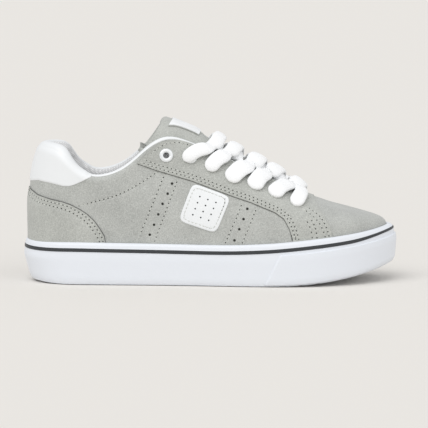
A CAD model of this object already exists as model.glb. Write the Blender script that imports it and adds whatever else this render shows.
"""Looks of a low skateboarding shoe: grey suede, white flat laces, white rubber sole with a black stripe.

Round the shoe, u counts the stations: 0 is the heel, TOE the toe, and the outer side comes first. Up the shoe,
v runs from 0 at the edge of the side wall to 1 at the rim. Every piece is laid on that form, in metres.
"""

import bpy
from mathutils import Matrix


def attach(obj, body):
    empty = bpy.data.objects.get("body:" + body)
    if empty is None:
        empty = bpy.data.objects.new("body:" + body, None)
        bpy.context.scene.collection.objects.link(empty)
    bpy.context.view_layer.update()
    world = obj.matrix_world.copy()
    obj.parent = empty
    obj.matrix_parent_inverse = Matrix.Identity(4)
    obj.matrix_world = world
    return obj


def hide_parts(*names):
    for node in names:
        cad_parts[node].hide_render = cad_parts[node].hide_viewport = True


bl_info = {
    "name": "Skateboarding shoe",
    "version": (1, 0, 0),
    "blender": (4, 5, 0),
    "location": "View3D > Sidebar > Shoe",
    "description": "Dresses the packed solids of a low suede skateboarding shoe",
    "category": "Object",
}

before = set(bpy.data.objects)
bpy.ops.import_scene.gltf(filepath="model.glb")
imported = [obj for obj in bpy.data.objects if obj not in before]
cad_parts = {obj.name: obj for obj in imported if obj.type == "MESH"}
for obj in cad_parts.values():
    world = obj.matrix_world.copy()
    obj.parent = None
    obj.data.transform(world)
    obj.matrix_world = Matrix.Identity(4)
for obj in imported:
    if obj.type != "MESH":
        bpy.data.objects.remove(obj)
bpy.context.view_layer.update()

import math
from collections import namedtuple

import bmesh
import bpy
import numpy as np
from bpy.props import FloatProperty, FloatVectorProperty, IntProperty, PointerProperty
from bpy.types import Operator, Panel, PropertyGroup
from mathutils import Vector
from mathutils.kdtree import KDTree

# Driving sizes of the shoe, in metres
LENGTH = 0.3000
BALL_WIDTH = 0.1085
HEEL_HEIGHT = 0.1108
INSTEP_HEIGHT = 0.1170
COLLAR_WIDTH = 0.0640
CLEARANCE = 0.0003

# Sole
SIDE_WALL_HEIGHT = 0.0330
SIDE_WALL_TUCK = 0.0060
SIDE_WALL_INSET = 0.0042
SIDE_WALL_THINNEST = 0.0020
SIDE_WALL_LIFT = 0.02
BUMPER_THICKNESS = 0.0008
BUMPER_START = 9.12
BUMPER_SLANT = 0.68
TOE_SPRING = 0.0150
TOE_SPRING_START = 0.65 * LENGTH
HEEL_SPRING = 0.0030
HEEL_SPRING_END = 0.12 * LENGTH
HEEL_ZONE = 0.12
TOE_ZONE = 0.86
BED_AT_HEEL = 0.0160
BED_AT_TOE = 0.0140

# Pinstripe: width, thickness, how far its middle lies under the side wall's edge, and its share at the toe
STRIPE_WIDTH = 0.0026
STRIPE_THICKNESS = 0.0008
STRIPE_DROP = 0.0060
STRIPE_AT_TOE = 0.65

# Upper: wall, padding and overlays
WALL = 0.0024
COLLAR_PAD = 0.0180
PAD_START = 0.45
OVERLAY = 0.0010
COUNTER_OVERLAY = 0.0018
HEEL_PANEL_OVERLAY = 0.0008

# Insole
INSOLE_THICKNESS = 0.0045
INSOLE_EDGE_RISE = 0.0030
INSOLE_EDGE_WIDTH = 0.0080

# Tongue and its label
TONGUE_TILT = math.radians(32.8)
TONGUE_GAP = 0.0006
TONGUE_WING = 0.0090
TONGUE_THICKNESS_TOP = 0.0110
TONGUE_THICKNESS_FOOT = 0.0045
TONGUE_FOOT_LENGTH = 0.0100
TONGUE_FOOT_DROP = 0.0050
TONGUE_FOOT_GAP = 0.0012
TONGUE_FOOT_WIDTH = 0.60
TONGUE_END_SWELL = 0.0060
TONGUE_LEAST_ARCH = 0.0010
TONGUE_HIGHEST_ARCH = 0.0600
TONGUE_LOWEST_ARCH = -0.0100
TONGUE_ARCH_POINTS = 300
TONGUE_ARCH_SHARES = (0.25, 0.5, 0.75)
TONGUE_CROWN_HANDLE = 0.55
TONGUE_SIDE_HANDLE = 0.75
TONGUE_TAPER = 1.6
TONGUE_EDGE_THINNING = 0.6
TONGUE_GAP_STATION = 12
TONGUE_GAP_STATIONS = 2
LABEL_START = 0.394 * LENGTH
LABEL_END = 0.472 * LENGTH
LABEL_HALF_COLUMNS = 2.3

# Eyelets
EYELETS = 7
EYELET_FLANGE_RADIUS = 0.0055
EYELET_HOLE_RADIUS = 0.0024
EYELET_STATION = 6.5
EYELET_LEVEL = 0.8

# Laces
LACE_FIRST_COLUMN = 2

# Lengths are shares: x of LENGTH, y of half BALL_WIDTH, top_half of half COLLAR_WIDTH, top_z of the height
# named in size, wall of SIDE_WALL_HEIGHT, rise and drop of the rib's own height, flare and spread of half
# BALL_WIDTH, and pad of COLLAR_PAD.
Rib = namedtuple(
    "Rib",
    "outer_x outer_y inner_x inner_y top_x top_half top_z size wall rise flare spread drop pad",
)
STATIONS = (
    Rib(0.0, 0.0, 0.0, 0.0, 0.07, 0.0, 1.0, HEEL_HEIGHT, 0.97, 0.36, -0.015, 0.17, 0.34, 1.0),
    Rib(0.013, -0.295, 0.013, 0.295, 0.085, 0.44, 1.0, HEEL_HEIGHT, 0.975, 0.36, -0.01, 0.15, 0.34, 0.97),
    Rib(0.05, -0.53, 0.05, 0.525, 0.112, 0.75, 0.97, HEEL_HEIGHT, 1.0, 0.36, 0.0, 0.11, 0.34, 0.86),
    Rib(0.107, -0.67, 0.107, 0.66, 0.139, 0.89, 0.877, HEEL_HEIGHT, 1.03, 0.36, 0.02, 0.07, 0.36, 0.72),
    Rib(0.18, -0.73, 0.18, 0.715, 0.177, 0.97, 0.802, HEEL_HEIGHT, 1.03, 0.36, 0.03, 0.05, 0.36, 0.62),
    Rib(0.267, -0.762, 0.267, 0.715, 0.223, 1.0, 0.752, INSTEP_HEIGHT, 1.02, 0.36, 0.03, 0.05, 0.36, 0.56),
    Rib(0.357, -0.795, 0.357, 0.68, 0.277, 0.97, 0.812, INSTEP_HEIGHT, 1.01, 0.36, 0.03, 0.08, 0.36, 0.5),
    Rib(0.45, -0.85, 0.45, 0.68, 0.33, 0.92, 0.928, INSTEP_HEIGHT, 1.0, 0.36, 0.03, 0.14, 0.36, 0.38),
    Rib(0.54, -0.925, 0.54, 0.75, 0.384, 0.86, 1.0, INSTEP_HEIGHT, 1.0, 0.38, 0.04, 0.24, 0.36, 0.22),
    Rib(0.63, -0.985, 0.627, 0.868, 0.444, 0.79, 0.967, INSTEP_HEIGHT, 1.03, 0.4, 0.05, 0.36, 0.33, 0.15),
    Rib(0.717, -1.0, 0.71, 0.962, 0.514, 0.725, 0.887, INSTEP_HEIGHT, 1.075, 0.42, 0.04, 0.42, 0.34, 0.14),
    Rib(0.797, -0.94, 0.79, 1.0, 0.584, 0.665, 0.802, INSTEP_HEIGHT, 1.085, 0.44, 0.02, 0.45, 0.4, 0.14),
    Rib(0.87, -0.783, 0.867, 0.947, 0.654, 0.59, 0.716, INSTEP_HEIGHT, 1.06, 0.46, 0.01, 0.47, 0.47, 0.14),
    Rib(0.933, -0.538, 0.937, 0.783, 0.711, 0.48, 0.641, INSTEP_HEIGHT, 1.02, 0.5, 0.0, 0.49, 0.54, 0.14),
    Rib(0.98, -0.208, 0.983, 0.5, 0.747, 0.29, 0.583, INSTEP_HEIGHT, 0.985, 0.54, -0.015, 0.52, 0.59, 0.14),
    Rib(1.0, 0.151, 1.0, 0.151, 0.758, 0.0, 0.562, INSTEP_HEIGHT, 0.97, 0.56, -0.028, 0.53, 0.61, 0.14),
)
TOE = len(STATIONS) - 1
COUNT = 2 * TOE
THROAT_SHIFT = 0.05
THROAT_SHIFT_START = 0.3
THROAT_SHIFT_SPAN = 0.5
CORNER_STATION = 8
ARCH_STATION = 5
PANEL_STATION = 6
LEG_STATION = 10.8

# Small steps and counts for reading the form
NUDGE = 1e-4
FACE_NUDGE = 1e-3
RIM_ARRIVAL = 0.98
HALVINGS = 16
SETTLINGS = 4
OUTLINE_POINTS = 600
WALK_STEPS = 12
WALK_PLACE = 0.3
WALK_LEVEL = 0.1
WALK_START = 0.95

# Side wall from bottom to top: share of its height, and how far it is tucked in, as shares of SIDE_WALL_TUCK
Tuck = namedtuple("Tuck", "level heel side toe")
SIDE_PROFILE = (
    Tuck(0.00, 1.10, 0.45, 0.85),
    Tuck(0.05, 0.92, 0.28, 0.45),
    Tuck(0.14, 0.68, 0.15, 0.18),
    Tuck(0.60, 0.00, 0.00, 0.00),
    Tuck(0.88, 0.18, 0.06, 0.24),
    Tuck(0.95, 0.28, 0.14, 0.48),
    Tuck(1.00, 0.40, 0.26, 0.80),
)
INSIDE_LEVELS = (0.0, 0.40, 1.0)

# Edges seen from the side: x as a share of LENGTH, z as a share of INSTEP_HEIGHT
Edge = namedtuple("Edge", "x z")
EYESTAY_REAR_EDGE = (
    Edge(0.250, 0.880), Edge(0.295, 0.838), Edge(0.359, 0.779), Edge(0.452, 0.710), Edge(0.558, 0.611),
    Edge(0.609, 0.568), Edge(0.643, 0.532), Edge(0.670, 0.504), Edge(0.694, 0.460), Edge(0.708, 0.393),
    Edge(0.718, 0.308), Edge(0.724, 0.200),
)
EYESTAY_FRONT_EDGE = (
    Edge(0.820, 0.200), Edge(0.820, 0.350), Edge(0.815, 0.406), Edge(0.802, 0.466), Edge(0.787, 0.513),
    Edge(0.777, 0.564), Edge(0.773, 0.700),
)
COUNTER_EDGE = (
    Edge(-0.020, 0.680), Edge(0.010, 0.656), Edge(0.024, 0.628), Edge(0.042, 0.602), Edge(0.076, 0.580),
    Edge(0.106, 0.566), Edge(0.129, 0.548), Edge(0.152, 0.518), Edge(0.175, 0.480), Edge(0.193, 0.436),
    Edge(0.207, 0.386), Edge(0.219, 0.334), Edge(0.226, 0.200),
)
EYELET_ROW = (
    Edge(0.383, 0.880), Edge(0.447, 0.868), Edge(0.508, 0.822), Edge(0.567, 0.760), Edge(0.627, 0.704),
    Edge(0.685, 0.650), Edge(0.737, 0.598),
)
TONGUE_CROWN = (
    Edge(0.300, 1.208), Edge(0.393, 1.114), Edge(0.433, 1.073), Edge(0.467, 1.032), Edge(0.487, 0.990),
    Edge(0.507, 0.955), Edge(0.550, 0.883), Edge(0.610, 0.808), Edge(0.647, 0.750), Edge(0.683, 0.701),
    Edge(0.717, 0.650), Edge(0.747, 0.577), Edge(0.763, 0.534), Edge(0.790, 0.487),
)
TONGUE_PLACES = (7.15, 7.55, 8.1, 8.7, 9.1, 9.45, 9.85, 10.5, 11.2, 11.9, 12.6, 13.2, 13.6)

# Sizes of what the solids leave out
SUEDE = 0.0013
LINING = 0.0010
FINE_STEPS = 6
BINDING_OUTSIDE = 0.0030
BINDING_INSIDE = 0.0028
BINDING_AT_HEEL = 0.0045
BINDING_BULGE = 0.0005
RAW_EDGE_WIDTH = 0.0009
STITCH_LENGTH = 0.0023
HOLE_RADIUS = 0.00055
SEAM_SINK = 0.00028
SEAM_SINK_WIDTH = 0.0011
PERFORATION_RADIUS = 0.00105
VIEW_TILT = math.radians(6.0)
MM = 0.001

# How thin edges, backs and laps of the dressed pieces are made
THIN = 0.0001
WELD = 2e-6
SMOOTHINGS = 6
SUEDE_AT_RIM = 0.6
UPPER_SUNK = 0.0040
LINING_LOWEST = 0.08
BINDING_HEEL_END = 3.6
BINDING_HEEL_FADE = 2.0
BINDING_HEEL_BULGE = 0.0007
BINDING_LIFT = 0.0002
BINDING_BACK = 0.0008
OVERLAY_BACK = 0.0003
OVERLAY_SUNK = 0.0022
OVERLAY_EDGE_ROUND = 0.0005
OVERLAY_EDGE_SHARE = 0.72
FOOT_LEVEL = 0.02
STEEP_STEP = 0.02
LEAST_GAP = 0.0008
EYESTAY_UNDER_BINDING = 0.0006
RAW_EDGE_STEP = 0.0008
COUNTER_EDGE_WIDTH = 0.0100
COUNTER_EDGE_SHARE = 0.45
COUNTER_EDGE_ROUND = 0.0006
COUNTER_EDGE_FALL = 0.4
COUNTER_LEAST_LEVEL = 0.004
PUNCH_RADIUS = 1.35 * EYELET_HOLE_RADIUS
PUNCH_DEPTH = 0.014
TONGUE_LINING_START = 6
LABEL_EDGE_ROUND = 0.06
LABEL_LIFT = 0.0002
LABEL_BULGE = 0.0011
PIPING_WIDTH = 0.0013
PIPING_HEIGHT = 0.0011
BUMPER_LOW = 0.03
BUMPER_HIGH = 0.735

# Search for the places that show at a point: its grid, margins, steps and longest step
NEAR_RIM = 0.96
SEARCH_GRID = (240, 60)
SEARCH_MARGINS = (0.3, 0.2)
SEARCH_TOP = 0.99
SEARCH_STEPS = 8
SEARCH_PLACE = 0.2
SEARCH_LEVEL = 0.08
MIRROR_STEPS = 10
EDGE_POINTS = 400
ROW_POINTS = 80

# Rows of stitches along the overlays' edges: their distances from them
EYESTAY_ROW_DISTANCES = (0.0020, 0.0046)
COUNTER_ROW_DISTANCES = (0.0022, 0.0052)
THROAT_ROW_DISTANCE = 0.0032
LAST_STITCH_LEVEL = 0.985
STITCH_AHEAD = 1e-3

# The stripe's section: share of its half width from its middle, and depth in the side wall
STRIPE_SECTION = (
    (-1, 0.0009), (-1, 0.0001), (-0.8, -0.0003), (-0.3, -0.0003), (0.3, -0.0003), (0.8, -0.0003), (1, 0.0001),
    (1, 0.0009),
)

# Seams and rows on the quarter as they show from the outer side, tipped by VIEW_TILT: millimetres from the heel
# and above the floor, from the collar or rim down
QUARTER_ROWS = {
    "quarter_seam": ((108.4, 86.5), (92.7, 76.0), (75.3, 67.3), (60.4, 62.9), (45.6, 59.0)),
    "rear_band_back": ((114.0, 85.0), (108.0, 70.0), (99.8, 50.0), (92.4, 32.0)),
    "rear_band_front": ((124.5, 81.0), (120.3, 70.0), (112.8, 50.0), (105.8, 31.0)),
    "front_band_back": ((175.6, 62.5), (171.0, 51.0), (166.2, 40.0), (161.7, 29.5)),
    "front_band_front": ((186.8, 58.5), (183.0, 49.0), (179.0, 39.0), (174.9, 29.5)),
}
TOE_ROWS = {
    "toe_seam_front": ((225.8, 58.7), (229.6, 55.6), (235.3, 51.1), (239.7, 45.2), (242.1, 39.8), (244.0, 33.5)),
    "toe_seam_back": ((223.0, 56.5), (227.6, 53.1), (232.8, 48.6), (237.0, 43.0), (239.3, 38.0), (241.0, 32.5)),
    "leg_front": ((228.0, 50.0), (230.6, 46.0), (232.7, 41.0), (233.8, 35.0), (234.2, 31.5)),
    "leg_back": ((224.4, 49.2), (227.2, 44.6), (229.2, 39.6), (230.2, 34.0), (230.5, 31.0)),
}
PERFORATIONS = (
    (119.6, 76.8), (116.1, 68.8), (112.1, 60.8), (108.7, 52.4), (105.3, 44.2), (101.9, 36.3),
    (179.1, 56.8), (176.1, 48.7), (172.8, 40.7), (169.0, 31.9),
)

# Vent patch on the quarter, as it shows from the outer side: its corners from the top rear one round
VENT_PATCH = ((135.9, 77.4), (166.3, 66.0), (154.4, 37.3), (124.6, 47.4))
VENT_PATCH_THICKNESS = 0.0009
VENT_PATCH_BORDER = 0.16
PATCH_EDGE_ROUND = 0.05
PATCH_EDGE_SHARE = 0.35
PATCH_PITCH = 0.9
VENT_PATCH_HOLES = ((-0.42, 0.0, 0.42), (-0.48, -0.16, 0.16, 0.48))

# Lower edge of the white heel panel, running out along the collar
PANEL_EDGE = (
    Edge(-0.020, 0.686), Edge(0.020, 0.688), Edge(0.042, 0.700), Edge(0.076, 0.690), Edge(0.111, 0.672),
    Edge(0.126, 0.672), Edge(0.140, 0.682), Edge(0.158, 0.703), Edge(0.172, 0.721), Edge(0.183, 0.733),
    Edge(0.196, 0.765), Edge(0.210, 0.830),
)
PANEL_ROLL = 0.02
PANEL_LEAST = 0.01
PANEL_EDGE_ROUND = 0.0008
PANEL_EDGE_SHARE = 0.3
PANEL_BACK = 0.0004

# Each crossing of the lace, from the top eyelet down: its width, how far it leans to the toe by the rim, and
# where its rounded lower end shows from the side, from the heel and above the floor in mm
LaceLook = namedtuple("LaceLook", "width lean tip")
LACE_LOOKS = (
    LaceLook(0.0, 0.0, (0, 0)), LaceLook(0.0112, 0.0150, (129.1, 94.6)), LaceLook(0.0124, 0.0085, (148.0, 86.6)),
    LaceLook(0.0146, 0.0090, (164.3, 78.2)), LaceLook(0.0142, 0.0045, (182.6, 72.2)),
    LaceLook(0.0138, 0.0050, (198.2, 66.4)), LaceLook(0.0116, -0.0030, (215.8, 58.7)),
)
LACE_TIP = 0.0062
LACE_NOSE_LEAST = 0.1
LACE_STEP = 0.0009
LACE_UNDER_LEAN = 0.0010
BAR_SHARES = (0.30, 0.50, 0.70)
BAR_LIFTS = (0.0054, 0.0056, 0.0054)

# The half crossings over the tongue: shares of the way, lifts, what the upper one lies higher, and shares of the
# lace's width and thickness where they differ from 1
CROSSING_SHARES = (0.16, 0.33, 0.50, 0.68, 0.88)
CROSSING_LIFTS = (0.0046, 0.0046, 0.0038, 0.0030, 0.0014)
CROSSING_OVER = (0.0, 0.0020, 0.0034, 0.0014, 0.0)
CROSSING_WIDTHS = (1.0, 0.98, 0.95, 0.9)
CROSSING_HEIGHTS = (0.95, 0.9, 0.8, 0.35)


def unit(vectors):
    return vectors / np.linalg.norm(vectors, axis=-1, keepdims=True)


def smooth_step(x):
    x = np.clip(x, 0.0, 1.0)
    return x * x * (3 - 2 * x)


def eased(share):
    """A quarter round: 0 at an edge, 1 from a share of 1 on."""
    return np.sqrt(np.clip(1 - (1 - np.clip(share, 0, 1))**2, 0, 1))


def travelled(points):
    """Distance along a line of points, at each of them."""
    return np.append(0, np.cumsum(np.linalg.norm(np.diff(points, axis=0), axis=1)))


def closed_round(grid):
    """A grid with its first column once more at its end."""
    return np.concatenate([grid, grid[:, :1]], 1)


def cubic(points, slopes, low, t, span=1.0):
    """Points between each point of a row and the next, on smooth curves."""
    a, start, end = points[low], slopes[low] * span, slopes[low + 1] * span
    step = points[low + 1] - a
    return a + t * start + t**2 * (3 * step - 2 * start - end) + t**3 * (start + end - 2 * step)


class ClosedSpline:
    """Smooth closed curve through rows at 0, 1, 2 and so on."""

    def __init__(self, rows):
        self.rows = rows
        ring = np.eye(len(rows))
        system = 4 * ring + np.roll(ring, 1, 0) + np.roll(ring, -1, 0)
        self.slopes = np.linalg.solve(system, 3 * (np.roll(rows, -1, 0) - np.roll(rows, 1, 0)))

    def at(self, places):
        first = np.floor(places).astype(int)
        t = (places - first)[..., None]
        i, j = first % len(self.rows), (first + 1) % len(self.rows)
        step = self.rows[j] - self.rows[i]
        start, end = self.slopes[i], self.slopes[j]
        bend = t**2 * (3 * step - 2 * start - end) + t**3 * (start + end - 2 * step)
        return self.rows[i] + t * start + bend


def station_row(station, side):
    """One row of the ring, in metres: outline x y, crest x y z, wall height, handles and padding."""
    half = BALL_WIDTH / 2 - BUMPER_THICKNESS - CLEARANCE
    body = LENGTH - BUMPER_THICKNESS - CLEARANCE
    x, y = (station.outer_x, station.outer_y) if side < 0 else (station.inner_x, station.inner_y)
    shift = THROAT_SHIFT * smooth_step((station.top_x - THROAT_SHIFT_START) / THROAT_SHIFT_SPAN)
    return (
        x * body - LENGTH / 2,
        y * half,
        station.top_x * LENGTH - LENGTH / 2,
        (side * station.top_half + shift) * COLLAR_WIDTH / 2,
        station.top_z * station.size,
        station.wall * SIDE_WALL_HEIGHT,
        station.rise,
        station.flare * half,
        station.spread * half,
        station.drop,
        station.pad * COLLAR_PAD,
    )


OUTLINE = slice(0, 2)
TOP = slice(2, 5)
HEIGHT, RISE, FLARE, SPREAD, DROP, PAD = range(5, 11)


def ring_rows():
    """The stations as one closed ring, with the widest outline centred on the frame."""
    outer = [station_row(station, -1) for station in STATIONS]
    inner = [station_row(station, 1) for station in STATIONS[-2:0:-1]]
    rows = np.array(outer + inner)
    outline = ClosedSpline(rows).at(np.linspace(0, COUNT, OUTLINE_POINTS))[:, 1]
    low, high = outline.min(), outline.max()
    rows[:, 1] -= (low + high) / 2
    rows[:, 1] *= (BALL_WIDTH - 2 * BUMPER_THICKNESS - 2 * CLEARANCE) / (high - low)
    return rows


def spring(x):
    """Height of the underside over the floor."""
    along = np.asarray(x) + LENGTH / 2
    toe = np.clip((along - TOE_SPRING_START) / (LENGTH - TOE_SPRING_START), 0, None)
    heel = np.clip((HEEL_SPRING_END - along) / HEEL_SPRING_END, 0, None)
    return TOE_SPRING * toe**2 + HEEL_SPRING * heel**2


def tuck(x, h):
    """How far the face of the side wall lies inside the widest outline, at a share h of its height."""
    share = (x + LENGTH / 2) / LENGTH
    heel = smooth_step(1 - share / HEEL_ZONE)
    toe = smooth_step((share - TOE_ZONE) / (1 - TOE_ZONE))
    table = np.array(SIDE_PROFILE)
    at_heel, at_side, at_toe = [np.interp(h, table[:, 0], table[:, k]) for k in (1, 2, 3)]
    return SIDE_WALL_TUCK * (heel * at_heel + toe * at_toe + (1 - heel - toe) * at_side)


def inside_depth(x, h):
    """How far the inner face of the side wall lies inside the widest outline: straight between levels."""
    depths = [np.maximum(SIDE_WALL_INSET, tuck(x, level) + SIDE_WALL_THINNEST) for level in INSIDE_LEVELS]
    h = np.broadcast_to(h, x.shape)
    depth = depths[-1]
    for low, high, below, above in zip(INSIDE_LEVELS, INSIDE_LEVELS[1:], depths, depths[1:]):
        share = (h - low) / (high - low)
        depth = np.where((share >= 0) & (share <= 1), below + (above - below) * share, depth)
    return depth


def outward(u):
    """Level direction out of the widest outline."""
    along = RING.at(u + NUDGE) - RING.at(u - NUDGE)
    level = np.zeros((*u.shape, 1))
    return unit(np.concatenate([along[..., [1]], -along[..., [0]], level], -1))


def wall_point(u, h, inside=False, deeper=0.0):
    """A point of the side wall at a share h of its height, on its face or its inner face, moved inward."""
    row = RING.at(u)
    x = row[..., 0]
    depth = (inside_depth(x, h) if inside else tuck(x, h)) + deeper
    level = np.zeros((*u.shape, 1))
    point = np.concatenate([row[..., OUTLINE], level], -1) - outward(u) * depth[..., None]
    point[..., 2] = spring(point[..., 0]) + h * row[..., HEIGHT]
    return point


def rib_point(u, v):
    """A point of the upper's outer face: each rib is one curve from the side wall up to the rim."""
    row = RING.at(u)
    foot = wall_point(u, 1.0, True, CLEARANCE)
    end = row[..., TOP]
    away = foot - end
    tall = -away[..., 2:3]
    away[..., 2] = 0
    away = unit(away)
    up = np.array([0.0, 0.0, 1.0])
    first = foot + up * tall * row[..., [RISE]] + outward(u) * row[..., [FLARE]]
    second = end - up * tall * row[..., [DROP]] + away * row[..., [SPREAD]]
    v = v[..., None]
    return (1 - v)**3 * foot + 3 * (1 - v)**2 * v * first + 3 * (1 - v) * v**2 * second + v**3 * end


def face_normal(u, v):
    low, high = np.clip(v - FACE_NUDGE, 0, 1), np.clip(v + FACE_NUDGE, 0, 1)
    along = rib_point(u + FACE_NUDGE, v) - rib_point(u - FACE_NUDGE, v)
    rise = rib_point(u, high) - rib_point(u, low)
    return unit(np.cross(along, rise))


def rim_frame(u):
    """At the rim: the point of the outer face, its normal, and the direction in which the rib arrives."""
    one = np.ones_like(u)
    edge = rib_point(u, one)
    return edge, face_normal(u, one), unit(edge - rib_point(u, one * RIM_ARRIVAL))


def settle_rim(crest):
    """Moves each rib's end so that the rolled rim above it peaks at the crest of the table."""
    radius = RING.rows[:, [PAD]] / 2
    _, normal, rise = rim_frame(np.arange(COUNT, dtype=float))
    up = np.array([0.0, 0.0, 1.0])
    rows = RING.rows.copy()
    rows[:, TOP] = crest + normal * radius - unit(rise + up) * radius
    return ClosedSpline(rows)


def wall_at(u, v):
    """Thickness of the upper: the plain wall below, the padding towards the rim."""
    pad = np.maximum(RING.at(u)[..., PAD], WALL)
    return WALL + (pad - WALL) * smooth_step((v - PAD_START) / (1 - PAD_START))


def skin(u, v, out=0.0):
    """The upper's outer face, moved out by a distance."""
    return rib_point(u, v) + face_normal(u, v) * np.asarray(out)[..., None]


def edge_at(edge, x):
    """Height of an edge over a place along the shoe."""
    table = np.array(edge)
    return np.interp(x, table[:, 0] * LENGTH - LENGTH / 2, table[:, 1] * INSTEP_HEIGHT)


def crossing(u, above):
    """On each rib, the lowest v whose point is above an edge: above takes points and says which are."""
    low, high = np.zeros_like(u), np.ones_like(u)
    for _ in range(HALVINGS):
        middle = (low + high) / 2
        passed = above(rib_point(u, middle))
        high = np.where(passed, middle, high)
        low = np.where(passed, low, middle)
    return high


def above_edge(edge):
    return lambda point: point[..., 2] > edge_at(edge, point[..., 0])


def find_place(start, end, test):
    """The place between start and end at which a test of ribs turns from false to true."""
    for _ in range(HALVINGS):
        middle = (start + end) / 2
        if test(np.array([middle]))[0]:
            end = middle
        else:
            start = middle
    return end


def eyelet_place(row, way):
    """Place (u, v) of an eyelet on one side of the throat, from its place in the row seen from the side."""
    x = row.x * LENGTH - LENGTH / 2

    def reaches(u):
        return rib_point(u, np.full(1, EYELET_LEVEL))[:, 0] > x
    origin = 0 if way > 0 else COUNT
    start = find_place(origin + way * EYELET_STATION, TOE, reaches)
    return find_on_side(x, row.z * INSTEP_HEIGHT, start, EYELET_LEVEL)


def find_on_side(x, z, start, level):
    """Place (u, v) of the outer face that shows at x, z from one side, walked to from a place nearby."""
    u, v = np.array([start]), np.array([level])
    for _ in range(WALK_STEPS):
        here = rib_point(u, v)[0]
        along = (rib_point(u + NUDGE, v) - rib_point(u - NUDGE, v))[0] / (2 * NUDGE)
        rise = (rib_point(u, v + NUDGE) - rib_point(u, v - NUDGE))[0] / (2 * NUDGE)
        table = np.array([[along[0], rise[0]], [along[2], rise[2]]])
        step = np.linalg.solve(table, [x - here[0], z - here[2]])
        u = u + np.clip(step[0], -WALK_PLACE, WALK_PLACE)
        v = np.clip(v + np.clip(step[1], -WALK_LEVEL, WALK_LEVEL), WALK_LEVEL, 1.0)
    return u, v


def inside_face(u, v, gap):
    return skin(u, v, -(wall_at(u, v) + gap))[0]


def bezier(a, b, c, d, t):
    return (1 - t)**3 * a + 3 * (1 - t)**2 * t * b + 3 * (1 - t) * t**2 * c + t**3 * d


def crown_over(point):
    """The middle of the tongue straight above a point, square to the throat."""
    slope = np.array([math.sin(TONGUE_TILT), 0.0, math.cos(TONGUE_TILT)])
    heights = np.linspace(TONGUE_LOWEST_ARCH, TONGUE_HIGHEST_ARCH, TONGUE_ARCH_POINTS)
    places = point + heights[:, None] * slope
    over = places[:, 2] > edge_at(TONGUE_CROWN, places[:, 0])
    return max(heights[np.argmax(over)], TONGUE_LEAST_ARCH)


def tongue_section(place):
    """Points across the tongue's face at a place on the rims: wing, arch over the foot, wing."""
    slope = np.array([math.sin(TONGUE_TILT), 0.0, math.cos(TONGUE_TILT)])
    ends, wings = [], []
    gap = TONGUE_GAP + TONGUE_FOOT_GAP * smooth_step((place - TONGUE_GAP_STATION) / TONGUE_GAP_STATIONS)
    for way, u in ((1, place), (-1, COUNT - place)):
        u = np.array([u])
        one = np.ones(1)
        under_rim = inside_face(u, one, gap)
        edge = rib_point(u, one)[0]
        wing = []
        for share in (1.0, 0.5):
            drop = edge - slope * TONGUE_WING * share
            at_u, at_v = find_on_side(drop[0], drop[2], u[0], WALK_START)
            wing.append(inside_face(at_u, at_v, gap * (1 + share)))
        normal = face_normal(u, one)[0]
        level = np.array([normal[1], normal @ slope])
        tangent = unit(np.array([level[1], -level[0]]) * way)
        ends.append((under_rim, tangent))
        wings.append(wing)
    (left, left_way), (right, right_way) = ends
    middle = (left + right) / 2
    rise = crown_over(middle)
    crown = np.array([middle[1], rise])
    flat = []
    for point, tangent in ((left, left_way), (right, right_way)):
        start = np.array([point[1], (point - middle) @ slope])
        reach = abs(crown[0] - start[0])
        climb = max(abs(tangent[1]), 1e-3)
        handle = min(TONGUE_CROWN_HANDLE * reach, TONGUE_SIDE_HANDLE * (crown[1] - start[1]) / climb)
        side = np.array([math.copysign(TONGUE_CROWN_HANDLE * reach, start[0] - crown[0]), 0.0])
        curve = (start, start + tangent * handle, crown + side, crown)
        flat.append([bezier(*curve, share) for share in TONGUE_ARCH_SHARES])
    base = middle.copy()
    base[1] = 0.0

    def lift(point):
        return base + np.array([0.0, point[0], 0.0]) + slope * point[1]
    return np.array([
        *wings[0], left, *[lift(point) for point in flat[0]], lift(crown),
        *[lift(point) for point in flat[1][::-1]], right, *wings[1][::-1],
    ])


class Sheet:
    """A grid of points read between its rows and columns, with its normals."""

    def __init__(self, grid):
        self.grid = grid
        down = np.gradient(grid, axis=0)
        over = np.gradient(grid, axis=1)
        self.normals = unit(np.cross(down, over))

    def at(self, i, j, out=0.0):
        i, j, out = np.broadcast_arrays(i, j, out)
        row = np.clip(i.astype(int), 0, self.grid.shape[0] - 2)
        column = np.clip(j.astype(int), 0, self.grid.shape[1] - 2)
        a, b = (i - row)[..., None], (j - column)[..., None]
        corners = 0
        for over, share in ((0, 1 - a), (1, a)):
            for along, part in ((0, 1 - b), (1, b)):
                place = (row + over, column + along)
                corners = corners + share * part * (self.grid[place] + self.normals[place] * out[..., None])
        return corners


def tongue_face():
    """Face of the tongue from its rounded top end to its foot under the toe."""
    sections = [tongue_section(place) for place in TONGUE_PLACES]
    ahead = np.array([math.cos(TONGUE_TILT), 0.0, -math.sin(TONGUE_TILT)])
    down = np.array([0.0, 0.0, 1.0])
    foot = sections[-1] + ahead * TONGUE_FOOT_LENGTH - down * TONGUE_FOOT_DROP
    foot[:, 1] = foot[len(foot) // 2, 1] + (foot[:, 1] - foot[len(foot) // 2, 1]) * TONGUE_FOOT_WIDTH
    return Sheet(np.array([*sections, foot]))


def rim_place(way, k, lean):
    """Place on the rim beside an eyelet, further towards the toe by lean."""
    u, v = EYELET_PLACES[way][k]
    x = rib_point(u, v)[0, 0] + lean

    def reaches(place):
        return rib_point(place, np.ones(1))[:, 0] > x
    return np.array([find_place(u[0] - way, TOE, reaches)])


RING = ClosedSpline(ring_rows())
CREST = RING.rows[:, TOP].copy()
for _ in range(SETTLINGS):
    RING = settle_rim(CREST)
EYELET_PLACES = {way: [eyelet_place(row, way) for row in EYELET_ROW] for way in (1, -1)}


# Reading the form

def round_places(count):
    """Even places all round the shoe."""
    return np.linspace(0, COUNT, count + 1)[:-1]


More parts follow.
